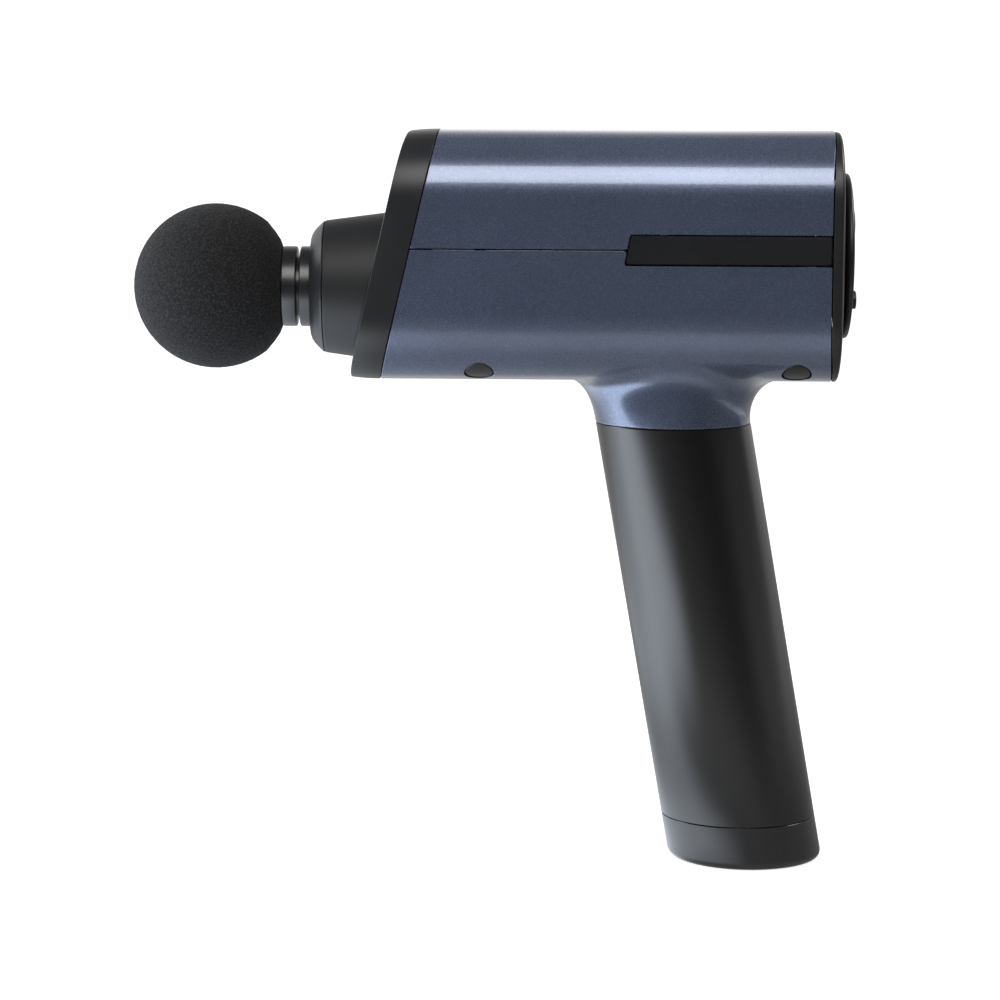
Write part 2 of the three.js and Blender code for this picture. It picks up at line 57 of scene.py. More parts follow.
# ---------------------------------------------------------------- dimensions
BEZEL_LOW, BEZEL_HIGH = box("front_bezel")
CAP_HIGH = box("rear_cap")[1]
PANEL_LOW, PANEL_HIGH = box("control_panel")
PLUNGER_LOW, PLUNGER_HIGH = box("plunger")
BALL_LOW, BALL_HIGH = box("ball_foam")
GRIP_LOW, GRIP_HIGH = box("grip_sleeve")

AXIS_Z = (PLUNGER_LOW.z + PLUNGER_HIGH.z) / 2
UNDERSIDE_UP = 0.55  # the underside and the collar sit this much higher than the CAD solids
BOTTOM = BEZEL_LOW.z + UNDERSIDE_UP
TOP = BEZEL_HIGH.z
HALF = BEZEL_HIGH.y
CORNER = 20.0
FLAT_Y = HALF - CORNER  # half of the flat top
FLAT_Z = TOP - BOTTOM - 2 * CORNER
ARC = CORNER * math.pi / 2
HALF_TURN = FLAT_Y + ARC + FLAT_Z + ARC + FLAT_Y
SEAM = 0.15
SPLIT_GAP = 0.25
WALL = 2.0
SPLIT_Z = (box("upper_shell")[0].z + box("lower_shell")[1].z) / 2

BEZEL_FRONT = -114.75
BEZEL_FRONT_LEAN = 0.2256
BEZEL_REAR = -105.3
BEZEL_REAR_LEAN = 0.231
REAR_SEAM = 22.9
REAR_SEAM_R = 240.0

HANDLE_R = GRIP_HIGH.y
HANDLE_BORE = 21.4
LEAN = 0.178
TILT = math.atan(LEAN)
GRIP_TOP = GRIP_HIGH.z + UNDERSIDE_UP + SEAM
BASE_TOP = GRIP_LOW.z - SEAM


# ---------------------------------------------------------------- mesh tools
def mesh_object(name, verts, faces):
    """A closed mesh that faces outwards, from points in millimetres."""
    mesh = bpy.data.meshes.new(name)
    mesh.from_pydata((np.asarray(verts, float) * MM).tolist(), [], [list(f) for f in faces])
    face_outwards(mesh)
    obj = bpy.data.objects.new(name, mesh)
    bpy.context.scene.collection.objects.link(obj)
    return obj


def face_outwards(mesh):
    """Makes the faces of a closed mesh agree and point outwards."""
    bm = bmesh.new()
    bm.from_mesh(mesh)
    bmesh.ops.recalc_face_normals(bm, faces=bm.faces)
    if bm.calc_volume(signed=True) < 0:
        bmesh.ops.reverse_faces(bm, faces=bm.faces)
    bm.to_mesh(mesh)
    bm.free()


def turn(n):
    """The angles of a full turn in n steps, without the last, which is the first again."""
    return [2 * math.pi * i / n for i in range(n)]


def quarter(n):
    """The angles of a quarter turn in n steps, both ends included."""
    return [k / n * math.pi / 2 for k in range(n + 1)]


def band(a, b):
    """Quads between two closed loops of vertex numbers."""
    n = len(a)
    return [(a[i], a[(i + 1) % n], b[(i + 1) % n], b[i]) for i in range(n)]


def loft(rings, close=False, caps=True):
    """Vertices and quads through a list of equal rings. close joins the last to the first."""
    n = len(rings[0])
    verts = [tuple(p) for ring in rings for p in ring]
    index = [list(range(k * n, (k + 1) * n)) for k in range(len(rings))]
    faces = []
    for a, b in zip(index, index[1:]):
        faces += band(a, b)
    if close:
        faces += band(index[-1], index[0])
    elif caps:
        faces.append(tuple(index[0][::-1]))
        faces.append(tuple(index[-1]))
    return verts, faces


def lathe(profile, place, segments=160):
    """Vertices and faces of a turned piece. profile is (height, radius) pairs; ends on the axis close,
    otherwise the profile closes on itself. place turns (height, radius, angle) into a point."""
    rings = []
    verts = []
    for h, r in profile:
        if r < 1e-6:
            rings.append([len(verts)])
            verts.append(place(h, 0.0, 0.0))
        else:
            rings.append(list(range(len(verts), len(verts) + segments)))
            verts += [place(h, r, a) for a in turn(segments)]
    faces = []
    pairs = list(zip(rings, rings[1:]))
    if len(rings[0]) > 1 and len(rings[-1]) > 1:
        pairs.append((rings[-1], rings[0]))
    for a, b in pairs:
        if len(a) == 1:
            faces += [(a[0], b[(i + 1) % segments], b[i]) for i in range(segments)]
        elif len(b) == 1:
            faces += [(a[i], a[(i + 1) % segments], b[0]) for i in range(segments)]
        else:
            faces += band(a, b)
    return verts, faces


def cut(obj, *tools):
    """Cuts closed tools, given as (verts, faces), out of a piece."""
    for verts, faces in tools:
        tool = mesh_object("tool", verts, faces)
        modifier = obj.modifiers.new("cut", "BOOLEAN")
        modifier.operation = "DIFFERENCE"
        modifier.solver = "EXACT"
        modifier.object = tool
        bpy.context.view_layer.update()
        done = bpy.data.meshes.new_from_object(obj.evaluated_get(bpy.context.evaluated_depsgraph_get()))
        obj.modifiers.remove(modifier)
        old, obj.data = obj.data, done
        bpy.data.meshes.remove(old)
        bpy.data.objects.remove(tool)
    return obj


def soften(obj, angle=40):
    """Smooth shading with crisp edges, and flats that stay flat."""
    obj.data.shade_smooth()
    obj.data.set_sharp_from_angle(angle=math.radians(angle))
    weighted = obj.modifiers.new("weighted", "WEIGHTED_NORMAL")
    weighted.keep_sharp = True
    weighted.weight = 100
    return obj


def cuboid(x0, x1, y0, y1, z0, z1):
    return loft([[(x, y0, z0), (x, y1, z0), (x, y1, z1), (x, y0, z1)] for x in (x0, x1)])


def along_x(y=0.0, z=None):
    z = AXIS_Z if z is None else z
    return lambda h, r, a: (h, y + r * math.cos(a), z + r * math.sin(a))


def upright(x, y):
    return lambda h, r, a: (x + r * math.cos(a), y + r * math.sin(a), h)


def rounded(points, radii, steps=5, closed=True):
    """A polygon whose corners are arcs. radii may be one number or one for each corner."""
    pts = [np.array(p, float) for p in points]
    radii = [radii] * len(pts) if np.isscalar(radii) else radii
    out = []
    for i, (p, r) in enumerate(zip(pts, radii)):
        if r <= 0 or (not closed and i in (0, len(pts) - 1)):
            out.append(tuple(p))
            continue
        a, b = pts[i - 1] - p, pts[(i + 1) % len(pts)] - p
        a, b = a / np.linalg.norm(a), b / np.linalg.norm(b)
        half = math.acos(max(-1.0, min(1.0, float(a @ b)))) / 2
        if half > math.pi / 2 - 1e-3:
            out.append(tuple(p))
            continue
        t = r / math.tan(half)
        centre = p + (a + b) / np.linalg.norm(a + b) * (r / math.sin(half))
        start, end = p + a * t - centre, p + b * t - centre
        sweep = math.pi - 2 * half
        for k in range(steps + 1):
            w = k / steps
            v = (math.sin((1 - w) * sweep) * start + math.sin(w * sweep) * end) / math.sin(sweep)
            out.append(tuple(centre + v))
    return out


def densify(loop, step):
    """Adds points so that no edge of a closed loop is longer than step."""
    out = []
    for a, b in zip(loop, loop[1:] + loop[:1]):
        a, b = np.array(a, float), np.array(b, float)
        n = max(1, math.ceil(np.linalg.norm(b - a) / step))
        out += [tuple(a + (b - a) * k / n) for k in range(n)]
    return out


def inside(loop, pts):
    """Whether each point lies in a closed loop."""
    x, y = pts[:, 0], pts[:, 1]
    hit = np.zeros(len(pts), bool)
    for (x0, y0), (x1, y1) in zip(loop, loop[1:] + loop[:1]):
        cross = (y0 > y) != (y1 > y)
        with np.errstate(divide="ignore", invalid="ignore"):
            at = x0 + (y - y0) * (x1 - x0) / (y1 - y0)
        hit ^= cross & (x < at)
    return hit


def area(loop):
    p = np.array(loop)
    q = np.roll(p, -1, axis=0)
    return float(np.sum(p[:, 0] * q[:, 1] - q[:, 0] * p[:, 1])) / 2


def distance(loop, pts):
    """Distance of each point from a closed loop."""
    best = np.full(len(pts), 1e9)
    for a, b in zip(loop, loop[1:] + loop[:1]):
        a, b = np.array(a), np.array(b)
        d = b - a
        t = np.clip(((pts - a) @ d) / max(d @ d, 1e-12), 0, 1)
        best = np.minimum(best, np.linalg.norm(pts - (a + t[:, None] * d), axis=1))
    return best


def inward(loop, sign):
    """Unit directions into the material round a loop, longer at corners to keep edges parallel."""
    p = np.array(loop)
    before = p - np.roll(p, 1, axis=0)
    after = np.roll(p, -1, axis=0) - p
    before /= np.linalg.norm(before, axis=1)[:, None]
    after /= np.linalg.norm(after, axis=1)[:, None]
    left_a = np.stack([-before[:, 1], before[:, 0]], 1)
    left_b = np.stack([-after[:, 1], after[:, 0]], 1)
    m = left_a + left_b
    m /= np.linalg.norm(m, axis=1)[:, None]
    return sign * m / np.clip((m * left_a).sum(1), 0.5, 1)[:, None]


# Section of a sheet's edge: (across, down, angle of the normal), in units of the edge's size.
ROUND = [(1 - math.sin(a), 1 - math.cos(a), a) for a in (math.pi / 8 * k for k in range(1, 5))]
BEVEL_ANGLE = math.radians(50)
BEVEL = [
    (0.97, 0.0, BEVEL_ANGLE),
    (0.03, math.tan(BEVEL_ANGLE), BEVEL_ANGLE),
    (0.0, math.tan(BEVEL_ANGLE) + 0.04, math.pi / 2),
]


def within(rims, pts):
    """Whether each point lies in the first loop and in none of the others."""
    good = inside(rims[0], pts)
    for hole in rims[1:]:
        good &= ~inside(hole, pts)
    return good


def triangles(rims, grid):
    """Points and triangles of a flat sheet in the first loop and round the others, loops' points first."""
    flat, edges = [], []
    for rim in rims:
        ids = range(len(flat), len(flat) + len(rim))
        edges += zip(ids, [*ids[1:], ids[0]])
        flat += rim
    low, high = np.array(rims[0]).min(0), np.array(rims[0]).max(0)
    across, up = (np.arange(low[k] + grid[k] / 2, high[k], grid[k]) for k in (0, 1))
    pts = np.array([(u, v) for u in across for v in up])
    pts = pts[within(rims, pts)]
    for rim in rims:
        pts = pts[distance(rim, pts) > 0.45 * min(grid)]
    flat += [tuple(p) for p in pts]
    verts, _, faces, origin = delaunay_2d_cdt([Vector(p) for p in flat], edges, [], 0, 1e-7)[:4]
    where = {i: source[0] for i, source in enumerate(origin) if source}
    if len(where) < len(verts):
        raise ValueError("the sheet's edges cross")
    uv = np.array(flat)
    tri = np.array([[where[i] for i in f] for f in faces])
    return uv, tri[within(rims, uv[tri].mean(1))]


class Skin:
    """A thick sheet over a surface, with rounded edges round its outline and its holes."""

    def __init__(self, surface, outer, holes, thick, edge, grid, open_holes=(), profile=ROUND, rim=None):
        self.verts, self.normals, self.faces, self.open = [], [], [], []
        kinds = [(outer, 1.0, rim or edge)]
        kinds += [(hole, -1.0, edge) for hole in holes]
        kinds += [(hole, -1.0, 0.0) for hole in open_holes]
        rims, spans, start = [], [], 0
        for loop, sign, radius in kinds:
            loop = np.array(loop if area(loop) > 0 else loop[::-1])
            m = inward(loop, sign)
            r = np.array([[radius(u, v) if callable(radius) else radius] for u, v in loop])
            rims.append([tuple(p) for p in loop + r * m])
            spans.append((list(range(start, start + len(loop))), loop, m, r))
            start += len(loop)
        uv, tri = triangles(rims, grid)
        p, n, _, _ = surface(uv[:, 0], uv[:, 1])
        turned = np.cross(p[tri[:, 1]] - p[tri[:, 0]], p[tri[:, 2]] - p[tri[:, 0]])
        wrong = (turned * n[tri[:, 0]]).sum(1) < 0
        tri[wrong] = tri[wrong][:, ::-1]
        self.add(p, n)
        self.faces += [tuple(t) for t in tri.tolist()]
        for ids, loop, *_ in spans:
            uv[ids] = loop
        p, n, _, _ = surface(uv[:, 0], uv[:, 1])
        back = self.add(p - thick * n, -n)
        self.faces += [tuple(back + i for i in t[::-1]) for t in tri.tolist()]
        for ids, loop, m, r in spans:
            rear = [back + i for i in ids]
            if not r.any():
                self.open.append((ids, rear, m))
                continue
            p, n, tu, tv = surface(loop[:, 0], loop[:, 1])
            inner = m[:, :1] * tu + m[:, 1:] * tv
            unit = inner / np.linalg.norm(inner, axis=1)[:, None]
            last = ids
            for across, down, a in profile:
                ring = p + r * across * inner - r * down * n
                last = self.grow(last, ring, math.cos(a) * n - math.sin(a) * unit)
            self.faces += band(last, rear)

    def add(self, points, normals):
        start = len(self.verts)
        self.verts += [tuple(p) for p in points]
        self.normals += [tuple(n) for n in normals]
        return start

    def grow(self, last, points, normals):
        """Adds a ring of points and joins it to the last one."""
        start = self.add(points, normals)
        ids = list(range(start, len(self.verts)))
        self.faces += band(last, ids)
        return ids

    def shape(self):
        return self.verts, self.faces, self.normals


# ---------------------------------------------------------------- the body's section
def section(s, inset=0.0):
    """Point and outward normal of the rounded section, s round from the middle of the top towards -Y."""
    s = np.asarray(s, float) % (2 * HALF_TURN)
    side = np.where(s <= HALF_TURN, -1.0, 1.0)
    t = np.where(s <= HALF_TURN, s, 2 * HALF_TURN - s)
    a = np.clip((t - FLAT_Y) / CORNER, 0, math.pi / 2)
    b = np.clip((t - FLAT_Y - ARC - FLAT_Z) / CORNER, 0, math.pi / 2)
    upper = t <= FLAT_Y + ARC + FLAT_Z / 2
    ny = np.where(upper, np.sin(a), np.cos(b))
    nz = np.where(upper, np.cos(a), -np.sin(b))
    y = np.where(t < FLAT_Y, t, np.where(t > HALF_TURN - FLAT_Y, HALF_TURN - t, FLAT_Y + CORNER * ny))
    down = np.clip(t - FLAT_Y - ARC, 0, FLAT_Z)
    z = np.where(
        upper,
        TOP - CORNER + CORNER * nz - down,
        BOTTOM + CORNER + CORNER * nz + np.clip(FLAT_Z - down, 0, FLAT_Z),
    )
    y = side * (y - inset * ny)
    z = z - inset * nz
    return y, z, side * ny, nz


def body_surface(u, v):
    """The body's skin: u is x, v is the way round."""
    y, z, ny, nz = section(v)
    zero, one = np.zeros_like(y), np.ones_like(y)
    p = np.stack([u, y, z], 1)
    n = np.stack([zero, ny, nz], 1)
    tu = np.stack([one, zero, zero], 1)
    tv = np.stack([zero, -nz, ny], 1)
    return p, n, tu, tv


def sunk_surface(depth):
    """The body's skin, moved in by depth."""

    def surface(u, v):
        p, n, tu, tv = body_surface(u, v)
        return p - depth * n, n, tu, tv

    return surface


def side_s(z, far=False):
    """The way round at height z on the flat of the side."""
    s = FLAT_Y + ARC + (TOP - CORNER - z)
    return 2 * HALF_TURN - s if far else s


def under_s(y):
    """The way round at y on the underside and its round corners."""
    a = math.asin(min(1.0, max(0.0, (abs(y) - FLAT_Y) / CORNER)))
    t = HALF_TURN - min(abs(y), FLAT_Y) - CORNER * a
    return t if y < 0 else 2 * HALF_TURN - t


def front_x(s):
    _, z, _, _ = section(s)
    return BEZEL_REAR + SEAM + BEZEL_REAR_LEAN * (float(z) - AXIS_Z)


def rear_x(s):
    y, _, _, _ = section(s)
    return REAR_SEAM - SEAM - float(y) ** 2 / (2 * REAR_SEAM_R)


STRIP_LOW, STRIP_HIGH = 182.1, 190.7
STRIP_FRONT_LOW, STRIP_FRONT_HIGH = -39.5, -37.9


def strip_front(z, gap):
    slope = (STRIP_FRONT_HIGH - STRIP_FRONT_LOW) / (STRIP_HIGH - STRIP_LOW)
    return STRIP_FRONT_LOW + slope * (z - STRIP_LOW) - gap * math.hypot(1, slope)


def shell_outline(split, lip, gap):
    """Outline of one shell: its split edge at height split, notched round the strip up to height lip."""
    upper = lip > split
    near = side_s(split)
    far = side_s(split, True)
    near_lip, far_lip = side_s(lip), side_s(lip, True)
    a, b = strip_front(split, gap), strip_front(lip, gap)
    notch = [(a, near), (b, near_lip), (rear_x(near_lip), near_lip)]
    notch = rounded([(a - 20, near)] + notch, [0, 0.6, 0.8, 0], closed=False)
    other = [(x, 2 * HALF_TURN - s) for x, s in notch][::-1]
    if upper:
        far, far_lip = far - 2 * HALF_TURN, far_lip - 2 * HALF_TURN
        other = [(x, s - 2 * HALF_TURN) for x, s in other]
    n = 90
    rear = [near_lip + (far_lip - near_lip) * k / n for k in range(1, n)]
    front = [far + (near - far) * k / n for k in range(n + 1)]
    loop = notch + [(rear_x(s), s) for s in rear] + other + [(front_x(s), s) for s in front]
    return densify(loop, 2.0)


# ---------------------------------------------------------------- materials
class Look:
    """The nodes of a material or a world, with short ways to add those that the finishes are made of."""

    def __init__(self, owner):
        owner.use_nodes = True
        self.owner, self.nodes, self.links = owner, owner.node_tree.nodes, owner.node_tree.links

    def plug(self, value, target):
        """Links a socket to an input, or sets the input to a plain value."""
        if isinstance(value, bpy.types.NodeSocket):
            self.links.new(value, target)
        else:
            target.default_value = value

    def node(self, kind, inputs, output, **settings):
        """Adds a node with its settings and inputs, and gives one of its outputs."""
        made = self.nodes.new("ShaderNode" + kind)
        for name, value in settings.items():
            setattr(made, name, value)
        for name, value in inputs.items():
            self.plug(value, made.inputs[name])
        return made.outputs[output]

    def shade(self, inputs):
        """Fills in the shader of a material, and gives the material."""
        for name, value in inputs.items():
            self.plug(value, self.nodes["Principled BSDF"].inputs[name])
        return self.owner

    def object_space(self):
        return self.node("TexCoord", {}, "Object")

    def noise(self, scale, detail, rough=0.5, source=None):
        """Noise in object space; scale is in cells per metre."""
        if source is None:
            source = self.object_space()
        inputs = {"Vector": source, "Scale": scale, "Detail": detail, "Roughness": rough}
        return self.node("TexNoise", inputs, "Fac")

    def ramp(self, value, stops):
        """Colour ramp from (position, colour) stops."""
        node = self.nodes.new("ShaderNodeValToRGB")
        elements = node.color_ramp.elements
        while len(elements) > 1:
            elements.remove(elements[-1])
        for i, (at, colour) in enumerate(stops):
            element = elements[0] if i == 0 else elements.new(at)
            element.position = at
            element.color = (*colour, 1)
        self.links.new(value, node.inputs["Fac"])
        return node.outputs["Color"]

    def tones(self, value, colour, low, high):
        """A darker and a lighter shade of a colour, across the middle of a noise."""
        dark, light = (tuple(c * shade for c in colour) for shade in (low, high))
        return self.ramp(value, [(0.3, dark), (0.7, light)])

    def glow(self, value, stops, tint=(1, 1, 1)):
        """Brightness from (place, strength) stops along a value, as a colour."""
        first, last = stops[0][0], stops[-1][0]
        span = self.node("MapRange", {"Value": value, "From Min": first, "From Max": last}, "Result")
        colours = [((at - first) / (last - first), tuple(g * t for t in tint)) for at, g in stops]
        return self.ramp(span, colours)

    def between(self, value, low, high):
        """Maps a 0 to 1 value to a range."""
        return self.node("MapRange", {"Value": value, "To Min": low, "To Max": high}, "Result")

    def bump(self, height, strength, depth):
        return self.node("Bump", {"Height": height, "Strength": strength, "Distance": depth}, "Normal")

    def mix(self, factor, one, two, blend="MIX"):
        inputs = {"Factor": factor, "A": one, "B": two}
        return self.node("Mix", inputs, "Result", data_type="RGBA", blend_type=blend)

    def times(self, one, two):
        return self.mix(1.0, one, two, "MULTIPLY")

    def plus(self, one, two):
        return self.mix(1.0, one, two, "ADD")


def new_look(name):
    return Look(bpy.data.materials.new(name))


def moulded(name, colour, rough, grain=2600, depth=0.00002, specular=0.5):
    """Moulded plastic: fine spark-eroded grain, slight tone and gloss variation."""
    look = new_look(name)
    wide = look.noise(60, 3)
    return look.shade({
        "Base Color": look.tones(wide, colour, 0.88, 1.12),
        "Roughness": look.between(wide, *rough),
        "Normal": look.bump(look.noise(grain, 2, 0.6), 0.35, depth),
        "Specular IOR Level": specular,
    })


def pearl_paint(name, colour, bright, flake_tilt=0.06):
    """Metallic flake paint under a clear coat."""
    look = new_look(name)
    where = look.object_space()
    flake = look.node("TexVoronoi", {"Vector": where, "Scale": 6500}, "Color")
    off = look.node("VectorMath", {0: flake, 1: (0.5, 0.5, 0.5)}, "Vector", operation="SUBTRACT")
    lean = look.node("VectorMath", {0: off, "Scale": flake_tilt}, "Vector", operation="SCALE")
    leaning = look.node("VectorMath", {0: look.node("NewGeometry", {}, "Normal"), 1: lean}, "Vector")
    red = look.node("SeparateColor", {"Color": flake}, "Red")
    tone = look.ramp(red, [(0.0, colour), (0.75, colour), (1.0, bright)])
    wide = look.tones(look.noise(45, 2, source=where), (1, 1, 1), 0.93, 1.06)
    return look.shade({
        "Base Color": look.times(tone, wide),
        "Roughness": look.between(red.node.outputs["Green"], 0.22, 0.3),
        "Normal": look.node("VectorMath", {0: leaning}, "Vector", operation="NORMALIZE"),
        "Metallic": 0.6,
        "Coat Weight": 1.0,
        "Coat Roughness": 0.07,
    })


def soft_touch(name, colour):
    """Rubbery coating of the grip."""
    look = new_look(name)
    wide = look.noise(35, 3)
    return look.shade({
        "Base Color": look.tones(wide, colour, 0.9, 1.15),
        "Roughness": look.between(wide, 0.22, 0.26),
        "Normal": look.bump(look.noise(3200, 3, 0.65), 0.3, 0.00002),
        "Specular IOR Level": 1.0,
        "IOR": 1.52,
    })


def foam(name, colour, bright):
    """Closed-cell foam: pebbled skin with lighter crowns."""
    look = new_look(name)
    where = look.object_space()
    cells = look.node("TexVoronoi", {"Vector": where, "Scale": 1500}, "Distance")
    fine = look.noise(2600, 3, 0.6, where)
    height = look.node("Math", {0: cells, 1: -0.9, 2: fine}, "Value", operation="MULTIPLY_ADD")
    return look.shade({
        "Base Color": look.ramp(height, [(0.0, colour), (0.45, bright)]),
        "Normal": look.bump(height, 0.8, 0.00025),
        "Roughness": 0.95,
        "Specular IOR Level": 0.1,
        "Sheen Weight": 0.06,
        "Sheen Roughness": 0.4,
    })


def metal(name, colour, rough, streaks=0.0):
    """Machined or drawn metal with fine scratches."""
    look = new_look(name)
    wide = look.noise(400, 4, 0.6)
    return look.shade({
        "Base Color": look.tones(wide, colour, 0.88, 1.0),
        "Roughness": look.between(wide, rough * 0.8, rough * 1.25),
        "Normal": look.bump(look.noise(3000, 2, 0.7), 0.2 + streaks, 0.00001),
        "Metallic": 1.0,
    })


# Each finish is the name of its slot and its material.
PAINT = ("pearl_blue_paint", pearl_paint("pearl_blue", (0.104, 0.13, 0.208), (0.24, 0.28, 0.38)))
SATIN = ("satin_black", moulded("satin_black", (0.0145, 0.0148, 0.016), (0.32, 0.42)))
ACCENT = ("satin_black", moulded("accent_black", (0.017, 0.0173, 0.0185), (0.16, 0.24), specular=0.6))
NOSE = ("nose_black", moulded("nose_black", (0.010, 0.0102, 0.0112), (0.46, 0.54)))
NYLON = ("black_nylon", moulded("black_nylon", (0.014, 0.014, 0.016), (0.26, 0.34), 1800, specular=0.75))
GRIP = ("soft_touch_grip", soft_touch("soft_touch", (0.0022, 0.0022, 0.0026)))
FOAM = ("eva_foam", foam("foam", (0.016, 0.016, 0.017), (0.04, 0.041, 0.043)))
BASE = ("satin_black", moulded("base_black", (0.009, 0.0092, 0.0105), (0.24, 0.3), specular=1.0))
RUBBER = ("black_rubber", moulded("rubber", (0.012, 0.012, 0.013), (0.55, 0.7)))
LENS = ("smoked_lens", moulded("smoked_lens", (0.006, 0.006, 0.008), (0.04, 0.07), depth=0.000002))
STEEL = ("bright_steel", metal("steel", (0.56, 0.57, 0.58), 0.28))
ALUMINIUM = ("cast_aluminium", metal("aluminium", (0.62, 0.63, 0.64), 0.42, 0.2))
COPPER = ("copper_winding", metal("copper", (0.6, 0.24, 0.1), 0.35, 0.3))
LAMINATE = ("laminated_steel", metal("laminate", (0.3, 0.3, 0.31), 0.45, 0.4))
MAGNET = ("magnet", metal("magnet", (0.2, 0.2, 0.21), 0.35))
BOARD = ("circuit_board", moulded("circuit_board", (0.015, 0.075, 0.035), (0.3, 0.45), 900))
CELL = ("battery_cell", moulded("cell_wrap", (0.03, 0.09, 0.28), (0.2, 0.3)))
WIRE = ("red_wire", moulded("red_wire", (0.3, 0.02, 0.02), (0.35, 0.45)))


def put(name, shape, node, finish=SATIN, body="housing", angle=None):
    """A finished piece from (verts, faces) or (verts, faces, normals), in place of a CAD node."""
    verts, faces, *normals = shape
    slot_name, material = finish
    obj = mesh_object(name, verts, faces)
    obj.data.shade_smooth()
    if normals:
        obj.data.normals_split_custom_set_from_vertices([tuple(n) for n in normals[0]])
    if angle is not None:
        soften(obj, angle)
    obj.data.materials.append(material)
    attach(obj, body)
    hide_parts(node)
    return obj


# ---------------------------------------------------------------- shells
PLUG_R = 4.15
PLUG_GAP = 0.3
SCREW_X = [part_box(f"screw_plug_{end}_left")[0].x / MM + PLUG_R for end in ("front", "rear")]
SCREW_Y = 20.9
STRIP_GAP = 0.3
SHELL_EDGE = 0.15
SHELL_GRID = (4.0, 2.2)


def round_plan(x, y, r):
    """A circle seen from below, as a loop on the body's skin."""
    return [(x + r * math.cos(a), under_s(y + r * math.sin(a))) for a in turn(48)]

COLLAR_FRONT, COLLAR_REAR, COLLAR_HALF = -58.6, 10.6, 25.9
COLLAR_MIDDLE = (COLLAR_FRONT + COLLAR_REAR) / 2
COLLAR_REACH = (COLLAR_REAR - COLLAR_FRONT) / 2
collar_angles = turn(144)
footprint = [
    (COLLAR_MIDDLE + COLLAR_REACH * math.cos(a), under_s(COLLAR_HALF * math.sin(a))) for a in collar_angles
]
if area(footprint) < 0:
    footprint = footprint[::-1]
    collar_angles = collar_angles[::-1]


def shell_edge(x, s):
    """Radius of a shell's edge: nearly sharp along the joint between the shells, eased at the two ends."""
    ends = x < front_x(s) + 0.4 or x > rear_x(s) - 0.4
    return SHELL_EDGE if ends else 0.01


lower = Skin(
    body_surface,
    shell_outline(SPLIT_Z - SPLIT_GAP, STRIP_LOW - STRIP_GAP, STRIP_GAP),
    [round_plan(x, side * SCREW_Y, PLUG_R + PLUG_GAP) for x in SCREW_X for side in (-1, 1)],
    WALL,
    SHELL_EDGE,
    SHELL_GRID,
    open_holes=[footprint],
    rim=shell_edge,
)


def handle_ring(z, r, angles):
    """Level cut through the leaning round handle."""
    a = np.array(angles)
    return np.stack([-LEAN * z + r / math.cos(TILT) * np.cos(a), r * np.sin(a), np.full(len(a), z)], 1)


def handle_normal(angles):
    """Unit directions out of the handle at each angle, and the one along it."""
    a = np.array(angles)
    axis = np.array([-math.sin(TILT), 0, math.cos(TILT)])
    across = np.array([math.cos(TILT), 0, math.sin(TILT)])
    side = np.array([0.0, 1.0, 0.0])
    return np.cos(a)[:, None] * across + np.sin(a)[:, None] * side, axis


def add_collar(skin):
    """Carries the shell from its open hole down into a flared collar, and back up inside it."""
    rim, rear, m = skin.open[0]
    top = np.array([skin.verts[i] for i in rim])
    loop = np.array(footprint)
    _, _, tu, tv = body_surface(loop[:, 0], loop[:, 1])
    inwards = -(m[:, :1] * tu + m[:, 1:] * tv)
    inwards /= np.linalg.norm(inwards, axis=1)[:, None]
    a = np.array(collar_angles)
    base = handle_ring(GRIP_TOP, HANDLE_R, a)
    out, axis = handle_normal(a)
    side = np.abs(np.sin(a))[:, None]
    ends = np.cos(a)[:, None]
    k0 = (7.2 - 1.2 * ends) * (1 - side) + 10.0 * side
    k1 = (7.6 + 0.5 * ends) * (1 - side) + 8.5 * side
    p1 = base + k0 * axis
    p2 = top + k1 * inwards
    last, count = rim, 30
    for step in range(1, count):
        t = 1 - step / count
        b = [(1 - t) ** 3, 3 * t * (1 - t) ** 2, 3 * t * t * (1 - t), t**3]
        p = b[0] * base + b[1] * p1 + b[2] * p2 + b[3] * top
        d = 3 * ((1 - t) ** 2 * (p1 - base) + 2 * t * (1 - t) * (p2 - p1) + t * t * (top - p2))
        around = np.roll(p, -1, axis=0) - np.roll(p, 1, axis=0)
        n = np.cross(around, d)
        n /= np.linalg.norm(n, axis=1)[:, None]
        n *= np.sign((n * out).sum(1))[:, None]
        last = skin.grow(last, p, n)
    edge = 0.35
    for w in quarter(4):
        p = base + (edge * (1 - math.sin(w))) * axis - edge * (1 - math.cos(w)) * out
        last = skin.grow(last, p, math.cos(w) * out - math.sin(w) * axis)
    for up in (0, 4, 13):
        last = skin.grow(last, handle_ring(GRIP_TOP + up, HANDLE_BORE, a), -out)
    skin.faces += band(last, rear)


add_collar(lower)
put("shell_lower", lower.shape(), "lower_shell", PAINT)

upper_outline = shell_outline(SPLIT_Z + SPLIT_GAP, STRIP_HIGH + STRIP_GAP, STRIP_GAP)
upper = Skin(body_surface, upper_outline, [], WALL, SHELL_EDGE, SHELL_GRID, rim=shell_edge)
put("shell_upper", upper.shape(), "upper_shell", PAINT)

for end, x in zip(("front", "rear"), SCREW_X):
    for side, y in (("left", -SCREW_Y), ("right", SCREW_Y)):
        plug = Skin(sunk_surface(0.25), round_plan(x, y, PLUG_R), [], 4.0, 0.45, (1.2, 1.2))
        place = f"{end}_{side}"
        put(f"plug_{place}", plug.shape(), f"screw_plug_{place}")


# ---------------------------------------------------------------- accent strips
def strip_outline(far):
    corners = [(strip_front(z, 0), z) for z in (STRIP_LOW, STRIP_HIGH)]
    rear = [(rear_x(side_s(z)), z) for z in (STRIP_LOW, STRIP_HIGH)]
    loop = rounded([corners[0], *rear, corners[1]], 0.8)
    return densify([(x, side_s(z, far)) for x, z in loop], 2.0)


